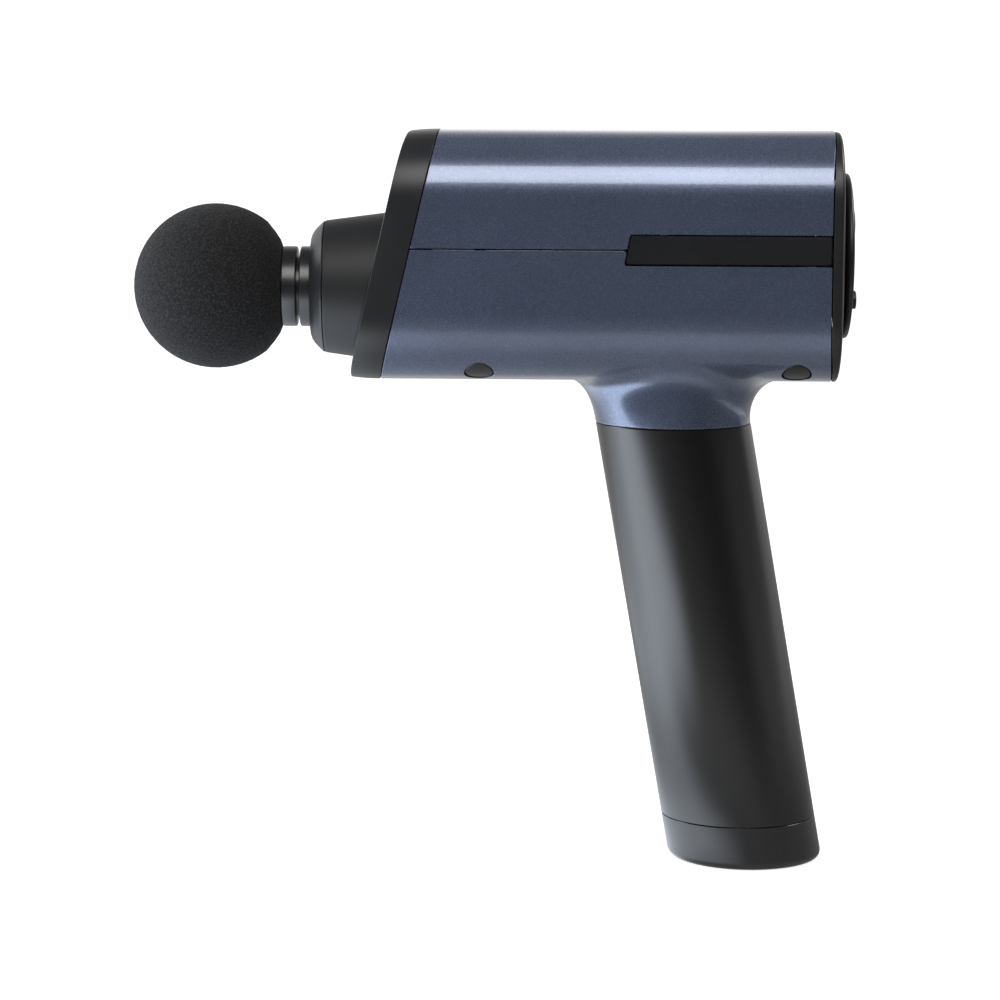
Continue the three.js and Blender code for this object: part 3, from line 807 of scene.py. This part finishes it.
for name, far in (("left", False), ("right", True)):
    strip = Skin(sunk_surface(0.05), strip_outline(far), [], 1.0, 0.42, (4.0, 2.0), profile=BEVEL)
    put(f"strip_{name}", strip.shape(), f"accent_strip_{name}", ACCENT)


# ---------------------------------------------------------------- front bezel
SECTION_N = 240


def body_ring(inset, x0, lean=0.0, back=0.0):
    """Section ring standing on a leaning plane, with normals."""
    s = np.arange(SECTION_N) * 2 * HALF_TURN / SECTION_N
    y, z, ny, nz = section(s, inset)
    x = x0 + back + lean * (z - AXIS_Z)
    return np.stack([x, y, z], 1), np.stack([np.zeros(SECTION_N), ny, nz], 1)


class Tube:
    """A shape made ring by ring and closed on itself, with the normals given for each ring."""

    def __init__(self):
        self.rings, self.normals = [], []

    def ring(self, points, normals):
        self.rings.append(points)
        self.normals += list(normals / np.linalg.norm(normals, axis=1)[:, None])

    def shape(self):
        return (*loft(self.rings, close=True), self.normals)


def crown(z):
    """How far the bezel's front face falls back near its top and bottom."""
    return 0.95 * np.exp(-(TOP - z) / 3.0) + 0.9 * np.exp(-(z - BOTTOM) / 1.6)


def crown_slope(z):
    """How far that leans the face's normals."""
    return 0.32 * np.exp(-(TOP - z) / 3.0) - 0.56 * np.exp(-(z - BOTTOM) / 1.6)


def bezel():
    """Slanted band round the body, with a round hole for the nose."""
    tube = Tube()
    front = np.array([-1.0, 0, BEZEL_FRONT_LEAN])
    front /= np.linalg.norm(front)
    rear = np.array([1.0, 0, -BEZEL_REAR_LEAN])
    rear /= np.linalg.norm(rear)
    x_rear = BEZEL_REAR - SEAM
    rear_edge, front_edge, taper, width = 0.2, 0.3, 0.5, 9.3
    for w in quarter(4):
        inset, back = rear_edge * (1 - math.sin(w)), rear_edge * (1 - math.cos(w))
        p, k = body_ring(inset, x_rear, BEZEL_REAR_LEAN, -back)
        tube.ring(p, math.cos(w) * rear + math.sin(w) * k)
    for w in (0.15, 0.3, 0.45, 0.6, 0.75, 0.88, 1.0):
        p, k = body_ring(taper * w * w, x_rear - rear_edge, BEZEL_REAR_LEAN)
        z = p[:, 2]
        x_front = BEZEL_FRONT + front_edge + crown(z) + BEZEL_FRONT_LEAN * (z - AXIS_Z)
        p[:, 0] += (x_front - p[:, 0]) * w
        k[:, 0] = -2 * taper * w / width
        tube.ring(p, k)
    for w in quarter(6)[1:]:
        p, k = body_ring(taper + front_edge * (1 - math.cos(w)), BEZEL_FRONT, BEZEL_FRONT_LEAN)
        p[:, 0] += crown(p[:, 2]) + front_edge * (1 - math.sin(w))
        k[:, 0] = -2 * taper / width
        tube.ring(p, math.cos(w) * k + math.sin(w) * front)
    for inset in (1.8, 2.8, 4.2, 6.0, 8.0):
        p, k = body_ring(inset, BEZEL_FRONT, BEZEL_FRONT_LEAN)
        p[:, 0] += crown(p[:, 2])
        zero = np.zeros(SECTION_N)
        tube.ring(p, front + np.stack([zero, zero, crown_slope(p[:, 2])], 1))
    a = np.arctan2(p[:, 2] - AXIS_Z, p[:, 1])

    def hole(r, back):
        z = AXIS_Z + r * np.sin(a)
        return np.stack([BEZEL_FRONT + back + BEZEL_FRONT_LEAN * (z - AXIS_Z), r * np.cos(a), z], 1)

    radial = np.stack([zero, -np.cos(a), -np.sin(a)], 1)
    flat = np.tile(front, (SECTION_N, 1))
    tube.ring(hole(18.1, 0), flat)
    tube.ring(hole(17.8, 0.3), flat + radial)
    tube.ring(hole(17.8, 2.2), radial)
    tube.ring(hole(18.0, 2.4), -flat)
    tube.ring(body_ring(4.2, BEZEL_FRONT, BEZEL_FRONT_LEAN, 2.4)[0], -flat)
    for x, lean, back in ((BEZEL_FRONT, BEZEL_FRONT_LEAN, 4.2), (x_rear, BEZEL_REAR_LEAN, 0)):
        p, k = body_ring(2.4, x, lean, back)
        tube.ring(p, -k)
    return tube.shape()


put("bezel", bezel(), "front_bezel")


# ---------------------------------------------------------------- nose
def cone_piece():
    """Nose cone, cut off at its rear along the slant of the bezel's front face."""
    outer = [(-128.6, 19.5), (-128.5, 19.72), (-128.3, 19.82), (-124.3, 20.38), (-112.3, 22.0), (-104, 23.1)]
    xs, rs = zip(*outer)
    angles = turn(160)
    plane, bore, start = BEZEL_FRONT - 0.3, 17.4, outer[2][0]

    def on_cone(x):
        return x, float(np.interp(x, xs, rs))

    def end(a):
        x = plane
        for _ in range(12):
            x = plane + BEZEL_FRONT_LEAN * on_cone(x)[1] * math.sin(a)
        return x

    ends = [end(a) for a in angles]

    def ring(spot):
        """A loop round the axis. spot gives (x, radius) for an angle and the cone's end there."""
        spots = [(a, *spot(a, e)) for a, e in zip(angles, ends)]
        return [(x, r * math.cos(a), AXIS_Z + r * math.sin(a)) for a, x, r in spots]

    rings = [ring(lambda a, e: (x, r)) for x, r in outer[:3]]
    rings += [ring(lambda a, e: on_cone(start + k / 20 * (e - 0.3 - start))) for k in range(1, 21)]
    for back, drop in ((0.1, 0.08), (0.0, 0.3)):
        rings.append(ring(lambda a, e: (e - back, on_cone(e)[1] - drop)))
    rings.append(ring(lambda a, e: (plane + BEZEL_FRONT_LEAN * bore * math.sin(a), bore)))
    inner = [(-104.5, bore), (-104.5, 15.9), (-122, 15.9), (-122, 14.3), (-128.4, 14.3), (-128.6, 14.5)]
    rings += [ring(lambda a, e: (x, r)) for x, r in inner]
    return loft(rings, close=True)


put("cone", cone_piece(), "nose_cone", NOSE, angle=32)

nose_ring = [
    (-132.7, 14.3), (-132.8, 14.42), (-132.72, 15.0), (-132.35, 16.0), (-131.85, 16.8), (-131.25, 17.5),
    (-130.5, 18.25), (-129.35, 19.36), (-129.05, 19.6), (-128.9, 19.64), (-128.8, 19.64), (-128.8, 14.3),
]
put("ring_nose", lathe(nose_ring, along_x()), "nose_ring", angle=30)

seal = [
    (-128.4, 12.3), (-128.4, 14.0), (-132.3, 14.0), (-132.55, 13.9), (-132.6, 13.7),
    (-132.5, 13.3), (-132.2, 13.0), (-132.5, 12.7), (-132.6, 12.45), (-132.4, 12.3),
]
put("seal_lip", lathe(seal, along_x()), "dust_seal", RUBBER, angle=50)

# ---------------------------------------------------------------- plunger and head
WRIST_X = -38.0
tube_profile = [
    (-104, 0), (-104, 9.4), (-135.8, 9.4), (-136.0, 9.6), (-136.0, 11.55), (-135.9, 11.8),
    (-135.62, 12.0), (-120, 12.0), (-60, 12.0), (-31.8, 12.0), (-31.4, 11.6), (-31.4, 0),
]
plunger = put("plunger_tube", lathe(tube_profile, along_x()), "plunger", NYLON, "plunger")
bore = [(-100, 0), (-100, 9.8), (-47, 9.8), (-47, 0)]
pin_hole = [(AXIS_Z - 30, 0), (AXIS_Z - 30, 3.3), (AXIS_Z + 30, 3.3), (AXIS_Z + 30, 0)]
rod_slot = cuboid(-50, 0, -20, 20, AXIS_Z - 3.5, AXIS_Z + 3.5)
cut(plunger, lathe(bore, along_x(), 96), rod_slot, lathe(pin_hole, upright(WRIST_X, 0), 48))
soften(plunger)

core = [
    (-172, 0), (-172, 5.6), (-106.3, 5.6), (-106.3, 7.8), (-107.0, 8.7), (-107.6, 8.9),
    (-114.6, 8.9), (-114.6, 7.5), (-116.6, 7.5), (-116.6, 8.9), (-137.0, 8.9), (-137.0, 11.55),
    (-137.1, 11.82), (-137.4, 12.0), (-140.9, 12.0), (-141.2, 11.85), (-141.3, 11.6), (-141.3, 9.1),
    (-160.5, 9.1), (-160.5, 12.0), (-163.5, 12.0), (-163.5, 9.1), (-176, 9.1), (-176, 0),
]
put("core", lathe(core, along_x()), "head_core", NYLON, "head", angle=35)

BALL_X = BALL_LOW.x + BALL_HIGH.y
BALL_R = BALL_HIGH.y
NECK = [(-143.9, 16.6), (-142.3, 14.2), (-141.7, 12.7)]
SOCKET = [
    (-141.6, 12.2), (-141.6, 9.4), (-160.2, 9.4), (-160.2, 12.3),
    (-163.8, 12.3), (-163.8, 9.4), (-176.3, 9.4), (-176.3, 0),
]
PEBBLE = 0.07


def ball():
    """Sphere with a short neck, turned about the axis and pebbled all over."""
    step = 0.42
    sweep = math.radians(128)
    count = int(BALL_R * sweep / step)
    angles = [sweep * i / count for i in range(count + 1)]
    profile = [(BALL_X - BALL_R * math.cos(a), BALL_R * math.sin(a)) for a in angles]
    profile += rounded([profile[-1], *NECK], 1.6, 6, closed=False)[1:]
    segments = int(2 * math.pi * BALL_R / step)
    verts, faces = lathe(profile + SOCKET, along_x(), segments)
    points = np.array(verts)
    for i in range(1 + (len(profile) - 1) * segments):
        p = Vector(points[i])
        if math.hypot(p.y, p.z - AXIS_Z) > 12.0 or p.x < BALL_X:
            out = (p - Vector((BALL_X, 0, AXIS_Z))).normalized()
            coarse = mesh_noise.noise(p * 1.15) * PEBBLE
            fine = mesh_noise.noise(p * 2.6 + Vector((9, 4, 2))) * PEBBLE
            points[i] = p + out * (coarse + fine - PEBBLE)
    return points, faces


foam_ball = put("ball", ball(), "ball_foam", FOAM, "head", angle=60)


# ---------------------------------------------------------------- rear cap and panel
PANEL_Z = (PANEL_LOW.z + PANEL_HIGH.z) / 2
PANEL_R = PANEL_HIGH.y
PANEL_HOLE_R = 25.05
CAP_EDGE = CAP_HIGH.x - 3.6


def seam_ring(inset, offset):
    """Section ring along the curved seam behind the shells, with normals."""
    p, k = body_ring(inset, REAR_SEAM + SEAM, back=offset)
    p[:, 0] -= p[:, 1] ** 2 / (2 * REAR_SEAM_R)
    return p, k


def rear_cap():
    """Cap with a rounded edge and a round hole for the panel."""
    tube = Tube()
    back = np.tile([1.0, 0, 0], (SECTION_N, 1))
    edge, depth, reach, rise = 0.3, 1.0, 1.7, 0.6
    for w in quarter(3):
        p, k = seam_ring(edge * (1 - math.sin(w)), edge * (1 - math.cos(w)))
        tube.ring(p, -math.cos(w) * back + math.sin(w) * k)
    for w in quarter(9):
        p, k = body_ring(reach * (1 - math.cos(w)), CAP_EDGE + depth * math.sin(w))
        tube.ring(p, math.cos(w) / reach * k + math.sin(w) / depth * back)
    _, y0, z0 = p.T
    a = np.arctan2(z0 - PANEL_Z, y0)

    def hole(r, x):
        return np.stack([np.full(SECTION_N, x), r * np.cos(a), PANEL_Z + r * np.sin(a)], 1)

    for w in (0.25, 0.5, 0.75, 0.95):
        spot = hole(PANEL_HOLE_R, CAP_EDGE + depth + rise * math.sin(w * math.pi / 2))
        spot[:, 1] = y0 + (spot[:, 1] - y0) * w
        spot[:, 2] = z0 + (spot[:, 2] - z0) * w
        tube.ring(spot, back)
    radial = np.stack([np.zeros(SECTION_N), -np.cos(a), -np.sin(a)], 1)
    crest = CAP_EDGE + depth + rise
    tube.ring(hole(PANEL_HOLE_R + 0.3, crest), back)
    tube.ring(hole(PANEL_HOLE_R + 0.09, crest - 0.08), back + radial)
    tube.ring(hole(PANEL_HOLE_R, crest - 0.3), radial)
    tube.ring(hole(PANEL_HOLE_R, crest - 2.0), radial)
    tube.ring(body_ring(WALL + 1.5, crest - 2.5)[0], -back)
    for p, k in (body_ring(WALL, crest - 3.2), seam_ring(WALL, 0)):
        tube.ring(p, -k)
    return tube.shape()


put("cap_rear", rear_cap(), "rear_cap")


def bent_plate(crown, bend):
    """Shallow dome facing +X: u is across, v is height above the panel's centre."""

    def surface(u, v):
        r2 = u * u + v * v
        x = crown - bend * r2
        p = np.stack([x, u, v + PANEL_Z], 1)
        k = np.stack([np.ones_like(u), 2 * bend * u, 2 * bend * v], 1)
        k /= np.linalg.norm(k, axis=1)[:, None]
        zero, one = np.zeros_like(u), np.ones_like(u)
        return p, k, np.stack([-2 * bend * u, one, zero], 1), np.stack([-2 * bend * v, zero, one], 1)

    return surface


def stadium(cy, cz, half_y, half_z, n=14):
    pts = []
    for side in (1, -1):
        for i in range(n + 1):
            a = side * (-math.pi / 2 + math.pi * i / n)
            across = half_y - half_z + half_z * math.cos(a)
            pts.append((cy + side * across, cz + half_z * math.sin(a)))
    return pts


def circle(cy, cz, r, n):
    return [(cy + r * math.cos(a), cz + r * math.sin(a)) for a in turn(n)]


def middle_of(node):
    """Y and z of the middle of a CAD node."""
    low, high = box(node)
    return (low.y + high.y) / 2, (low.z + high.z) / 2


POWER_Z = middle_of("power_button")[1]
ROCKER_Y, ROCKER_Z = middle_of("plus_button")
LENS_Z = middle_of("display_lens")[1]
PANEL_BEND = 0.0018

panel = Skin(
    bent_plate(28.9, PANEL_BEND),
    circle(0, 0, PANEL_R, 180),
    [
        circle(0, POWER_Z - PANEL_Z, 4.95, 64),
        stadium(-ROCKER_Y, ROCKER_Z - PANEL_Z, 4.9, 3.0),
        stadium(ROCKER_Y, ROCKER_Z - PANEL_Z, 4.9, 3.0),
        stadium(0, LENS_Z - PANEL_Z, 11.3, 4.3),
    ],
    thick=3.0,
    edge=0.25,
    grid=(1.6, 1.6),
    rim=0.9,
)
put("panel", panel.shape(), "control_panel")

lens = Skin(bent_plate(28.72, PANEL_BEND), stadium(0, LENS_Z - PANEL_Z, 11.0, 4.0), [], 1.3, 0.2, (1.2, 1.2))
put("lens", lens.shape(), "display_lens", LENS)

# ---------------------------------------------------------------- buttons
power_key = [
    (22.6, 0), (22.6, 5.6), (22.8, 5.8), (23.6, 5.8), (23.8, 5.6), (23.8, 4.65), (29.3, 4.65), (29.5, 4.58),
    (29.64, 4.42), (29.7, 4.2), (29.62, 3.9), (29.4, 3.1), (29.26, 2.2), (29.2, 1.2), (29.18, 0),
]
power_shape = lathe(power_key, along_x(0, POWER_Z), 72)
put("key_power", power_shape, "power_button", body="power_button", angle=50)


def bar(cy, cz, half_y, half_z):
    """A raised bar with sloping sides, the mark on a key that faces +X."""
    low, high, slope, bevel = 29.5, 29.8, 0.12, 0.06
    rings = []
    for x, inset in ((low, -slope), (high - bevel, 0.0), (high, bevel)):
        hy, hz = half_y - inset, half_z - inset
        corners = ((-hy, -hz), (hy, -hz), (hy, hz), (-hy, hz))
        rings.append([(x, cy + across, cz + up) for across, up in corners])
    return loft(rings)


def joined(*shapes):
    """One mesh from several closed shapes."""
    verts, faces = [], []
    for v, f in shapes:
        faces += [tuple(i + len(verts) for i in face) for face in f]
        verts += [tuple(p) for p in v]
    return verts, faces


def key(y):
    """Stadium button with a rounded crown and a dished top, in (x, half width, half height) layers."""
    layers = [
        (22.6, 5.3, 3.5), (22.7, 5.4, 3.6), (23.7, 5.4, 3.6), (23.8, 5.3, 3.5),
        (23.8, 4.6, 2.7), (29.45, 4.6, 2.7), (29.65, 4.52, 2.62), (29.79, 4.36, 2.46),
        (29.85, 4.1, 2.2), (29.8, 3.8, 1.9), (29.66, 3.2, 1.3), (29.6, 2.6, 0.7),
    ]
    return loft([[(x, a, b) for a, b in stadium(y, ROCKER_Z, hy, hz)] for x, hy, hz in layers])


for name, y in (("minus", -ROCKER_Y), ("plus", ROCKER_Y)):
    marks = [bar(y, ROCKER_Z, 1.15, 0.16)]
    if name == "plus":
        marks += [bar(y, ROCKER_Z + side * 0.68, 0.16, 0.4) for side in (-1, 1)]
    node = f"{name}_button"
    put(f"key_{name}", joined(key(y), *marks), node, body=node, angle=50)

# ---------------------------------------------------------------- handle
def leaning(stations, close):
    """Loft up the leaning handle, through (height, radius) stations."""
    return loft([handle_ring(z, r, turn(160)) for z, r in stations], close=close)


low, high = GRIP_LOW.z, GRIP_HIGH.z + UNDERSIDE_UP
grip = [(low, HANDLE_BORE), (low, 22.8), (low + 0.06, 22.93), (low + 0.18, 23.0)]
grip += [(low + 0.18 + (high - low - 0.58) * k / 24, 23.0) for k in range(1, 25)]
grip += [(high - 0.05, 22.94), (high, 22.85), (high, HANDLE_BORE)]
put("grip", leaning(grip, True), "grip_sleeve", GRIP, angle=40)

high = BASE_TOP - 0.03
foot = [(2.6 * (1 - math.cos(w)), HANDLE_R - 2.4 * (1 - math.sin(w))) for w in quarter(10)]
foot += [(7, 23.0), (high - 0.2, 23.0), (high - 0.06, 22.93), (high, 22.8)]
foot += [(high, HANDLE_BORE), (3.6, HANDLE_BORE)]
base = put("cap_base", leaning(foot, False), "base_cap", BASE)
PORT_LOW, PORT_HIGH = box("charge_port")
PORT_X = (PORT_LOW.x + PORT_HIGH.x) / 2
cut(base, lathe([(-5, 0), (-5, 4.4), (10, 4.4), (10, 0)], upright(PORT_X, 0), 64))
soften(base, 35)

jack = [
    (7.6, 0), (7.6, 4.1), (0.5, 4.1), (0.36, 4.0), (0.3, 3.8), (0.3, 3.3), (0.42, 3.08),
    (0.7, 3.0), (6.2, 3.0), (6.2, 1.0), (1.5, 1.0), (1.28, 0.85), (1.2, 0.5), (1.2, 0),
]
put("port", lathe(jack, upright(PORT_X, 0), 64), "charge_port", angle=40)

# ---------------------------------------------------------------- carried-over pieces
KEPT = [
    (NYLON, "guide_bush handle_tube cell_holder_bottom cell_holder_middle cell_holder_top"),
    (RUBBER, "head_o_ring frame_damper_front frame_damper_rear"),
    (ALUMINIUM, "drive_frame motor_base connecting_rod"),
    (STEEL, "motor_bearing_lower motor_bearing_upper big_end_bearing wrist_pin crank_pin"),
    (STEEL, "motor_shaft crank_disc rotor_can shell_screw_front_left shell_screw_front_right"),
    (STEEL, "shell_screw_rear_left shell_screw_rear_right"),
    (LAMINATE, "stator_core"),
    (MAGNET, "rotor_magnets"),
    (COPPER, "stator_windings"),
    (BOARD, "button_board battery_board main_board"),
    (WIRE, "battery_lead"),
    (CELL, " ".join(f"battery_cell_{i}" for i in range(1, 7))),
]
for (slot_name, material), names in KEPT:
    for name in names.split():
        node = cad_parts[name]
        node.data.materials.clear()
        node.data.materials.append(material)
        node.data.shade_smooth()
        node.data.set_sharp_from_angle(angle=math.radians(35))

# ---------------------------------------------------------------- studio
scene = bpy.context.scene
scene.view_settings.view_transform = "Standard"
scene.view_settings.look = "None"
scene.view_settings.exposure = 0.0
scene.view_settings.gamma = 1.0

# Glow of the paper by (metres, strength) stops, in units of GLOW_UNIT. SHOWN is what is seen of it.
GLOW_UNIT = 3.0
SHOWN = [(-1.5, 0.34), (-0.6, 0.32), (-0.2, 0.24), (0.1, 0.25), (0.5, 0.28), (1.5, 0.3)]
SHOWN_ACROSS = [(-1.3, 0.14), (-0.5, 0.0), (0.4, 0.0), (1.2, 0.14)]
# What lights the object, and is mirrored in it: a dim floor, a back wall that fades upwards,
# a bright patch of floor on the left and a dimmer one far to the right.
LIT_BACK = [
    (-0.8, 0.025), (-0.36, 0.035), (-0.26, 0.18), (-0.14, 0.165),
    (-0.08, 0.08), (0.1, 0.1), (0.4, 0.2), (1.5, 0.3),
]
LIT_UP = [(0.0, 1.0), (0.8, 0.85), (1.5, 0.35), (2.4, 0.12)]
BACK_ACROSS = [(-1.4, 1.0), (0.05, 1.0), (0.2, 0.45), (0.6, 0.65), (1.4, 0.65)]
LEFT_ACROSS = [(-1.4, 1.1), (-0.19, 1.1), (-0.12, 0.0), (1.4, 0.0)]
LEFT_ALONG = [(-0.35, 0.0), (-0.22, 0.8), (-0.03, 0.8), (0.1, 0.4), (0.35, 0.0)]
LEFT_TINT = (0.82, 0.91, 1.02)
RIGHT_ACROSS = [(0.75, 0.0), (1.05, 1.0)]
RIGHT_ALONG = [(-0.9, 0.0), (-0.6, 0.22), (0.8, 0.22), (1.2, 0.0)]
# A painted glow on the floor beside the foot of the handle, and the dimming of the floor's glow,
# both by the slant it is met at: 0 square on, 1 grazing.
NEAR_ACROSS = [
    (-0.2, 0.0), (-0.13, 0.45), (-0.08, 0.5), (-0.055, 0.7), (-0.03, 0.7), (-0.012, 0.3), (0.0, 0.0),
]
NEAR_ALONG = [(-0.08, 0.0), (-0.035, 0.75), (0.0, 0.75), (0.05, 0.4), (0.25, 0.0)]
NEAR_SLANT = [(0.25, 0.0), (0.45, 1.0)]
FLOOR_SLANT = [(0.45, 1.0), (0.75, 0.55)]


def stage_material(name):
    """Near white paper to look at, and a dimmer one for the object to mirror, which glows as painted light,
    brightest in patches on the left and beside the foot.
    """
    look = new_look(name)
    where = look.object_space()
    at = look.node("SeparateXYZ", {"Vector": where}, "X").node.outputs
    seen = look.node("LightPath", {}, "Is Camera Ray")
    slant = look.node("LayerWeight", {}, "Facing")
    paper = look.tones(look.noise(30, 3, source=where), (1, 1, 1), 0.515, 0.52)
    back = look.times(look.glow(at["Y"], LIT_BACK), look.glow(at["Z"], LIT_UP))
    back = look.times(back, look.glow(at["X"], BACK_ACROSS))
    back = look.times(back, look.glow(slant, FLOOR_SLANT))
    left = look.times(look.glow(at["X"], LEFT_ACROSS), look.glow(at["Y"], LEFT_ALONG, LEFT_TINT))
    right = look.times(look.glow(at["X"], RIGHT_ACROSS), look.glow(at["Y"], RIGHT_ALONG))
    near = look.times(look.glow(at["X"], NEAR_ACROSS), look.glow(at["Y"], NEAR_ALONG, LEFT_TINT))
    near = look.times(near, look.glow(slant, NEAR_SLANT))
    lit = look.plus(look.plus(look.plus(back, left), right), near)
    shown = look.plus(look.glow(at["Y"], SHOWN), look.glow(at["X"], SHOWN_ACROSS))
    return look.shade({
        "Base Color": look.mix(seen, (0.12, 0.12, 0.12, 1), paper),
        "Emission Color": look.mix(seen, lit, shown),
        "Emission Strength": GLOW_UNIT,
        "Roughness": 0.9,
        "Specular IOR Level": 0.0,
    })


def sweep():
    """Floor running up into a back wall."""
    half, front, back, tall, bend = 2600, -1500, 1500, 2400, 500
    line = [(front, 0.0)]
    for w in quarter(16):
        line.append((back - bend + bend * math.sin(w), bend * (1 - math.cos(w))))
    line.append((back, tall))
    verts = [(x, y, z) for x in (-half, half) for y, z in line]
    n = len(line)
    faces = [(i, i + 1, n + i + 1, n + i) for i in range(n - 1)]
    mesh = bpy.data.meshes.new("floor")
    mesh.from_pydata([tuple(c * MM for c in v) for v in verts], [], faces)
    mesh.flip_normals()
    mesh.shade_smooth()
    mesh.materials.append(stage_material("stage_white"))
    obj = bpy.data.objects.new("floor", mesh)
    scene.collection.objects.link(obj)


sweep()


def area_light(name, place, target, width, height, power, colour=(1, 1, 1)):
    data = bpy.data.lights.new(name, "AREA")
    data.shape = "RECTANGLE"
    data.size, data.size_y = width * MM, height * MM
    data.energy = power
    data.color = colour
    obj = bpy.data.objects.new(name, data)
    scene.collection.objects.link(obj)
    obj.location = Vector(place) * MM
    aim = (Vector(target) - Vector(place)).normalized()
    obj.rotation_mode = "QUATERNION"
    obj.rotation_quaternion = aim.to_track_quat("-Z", "Y")
    return obj


COOL = (0.94, 0.975, 1.0)
area_light("softbox_front", (-80, -800, 930), (-80, 0, 170), 760, 570, 6.7, (1.0, 0.99, 0.955))
area_light("panel_left", (-960, 400, 500), (-60, 0, 170), 1000, 1000, 2.6, COOL)
area_light("softbox_right", (800, 150, 780), (20, 0, 170), 520, 520, 6.5, (1.0, 0.99, 0.97))
area_light("rim_left", (-970, 115, 440), (-60, 0, 150), 300, 880, 5.0, COOL)
# Lights the foam from the left without a glare on the glossy sides.
fill_left = area_light("fill_left", (-950, -265, 440), (-60, 0, 150), 320, 880, 6.2, COOL)
fill_left.visible_glossy = False

scene.world = bpy.data.worlds.new("world")
sky = Look(scene.world)
seen = sky.node("LightPath", {}, "Is Camera Ray")
way = sky.node("SeparateXYZ", {"Vector": sky.node("TexCoord", {}, "Generated")}, "X").node.outputs
fill = sky.ramp(way["Z"], [(0.3, (0.04, 0.041, 0.043)), (0.9, (0.14, 0.143, 0.15))])
side = sky.ramp(way["X"], [(0.6, (0.0, 0.0, 0.0)), (0.95, (0.06, 0.061, 0.063))])
sky.plug(sky.mix(seen, sky.plus(fill, side), (1.0, 1.0, 1.0, 1)), sky.nodes["Background"].inputs["Color"])

# ---------------------------------------------------------------- camera
camera_data = bpy.data.cameras.new("camera")
camera = bpy.data.objects.new("camera", camera_data)
scene.collection.objects.link(camera)
scene.camera = camera
camera_data.lens = 118.8
camera_data.sensor_width = 36.0
camera_data.clip_end = 50
spot = Vector((-64.6, -991.7, 237.8)) * MM
aim = Vector((-75.8, 0, 108.9)) * MM
camera.location = spot
camera.rotation_mode = "QUATERNION"
roll = Matrix.Rotation(math.radians(0.37), 4, "Z")
turned = (aim - spot).to_track_quat("-Z", "Y").to_matrix().to_4x4() @ roll
camera.rotation_quaternion = turned.to_quaternion()

bpy.context.view_layer.update()
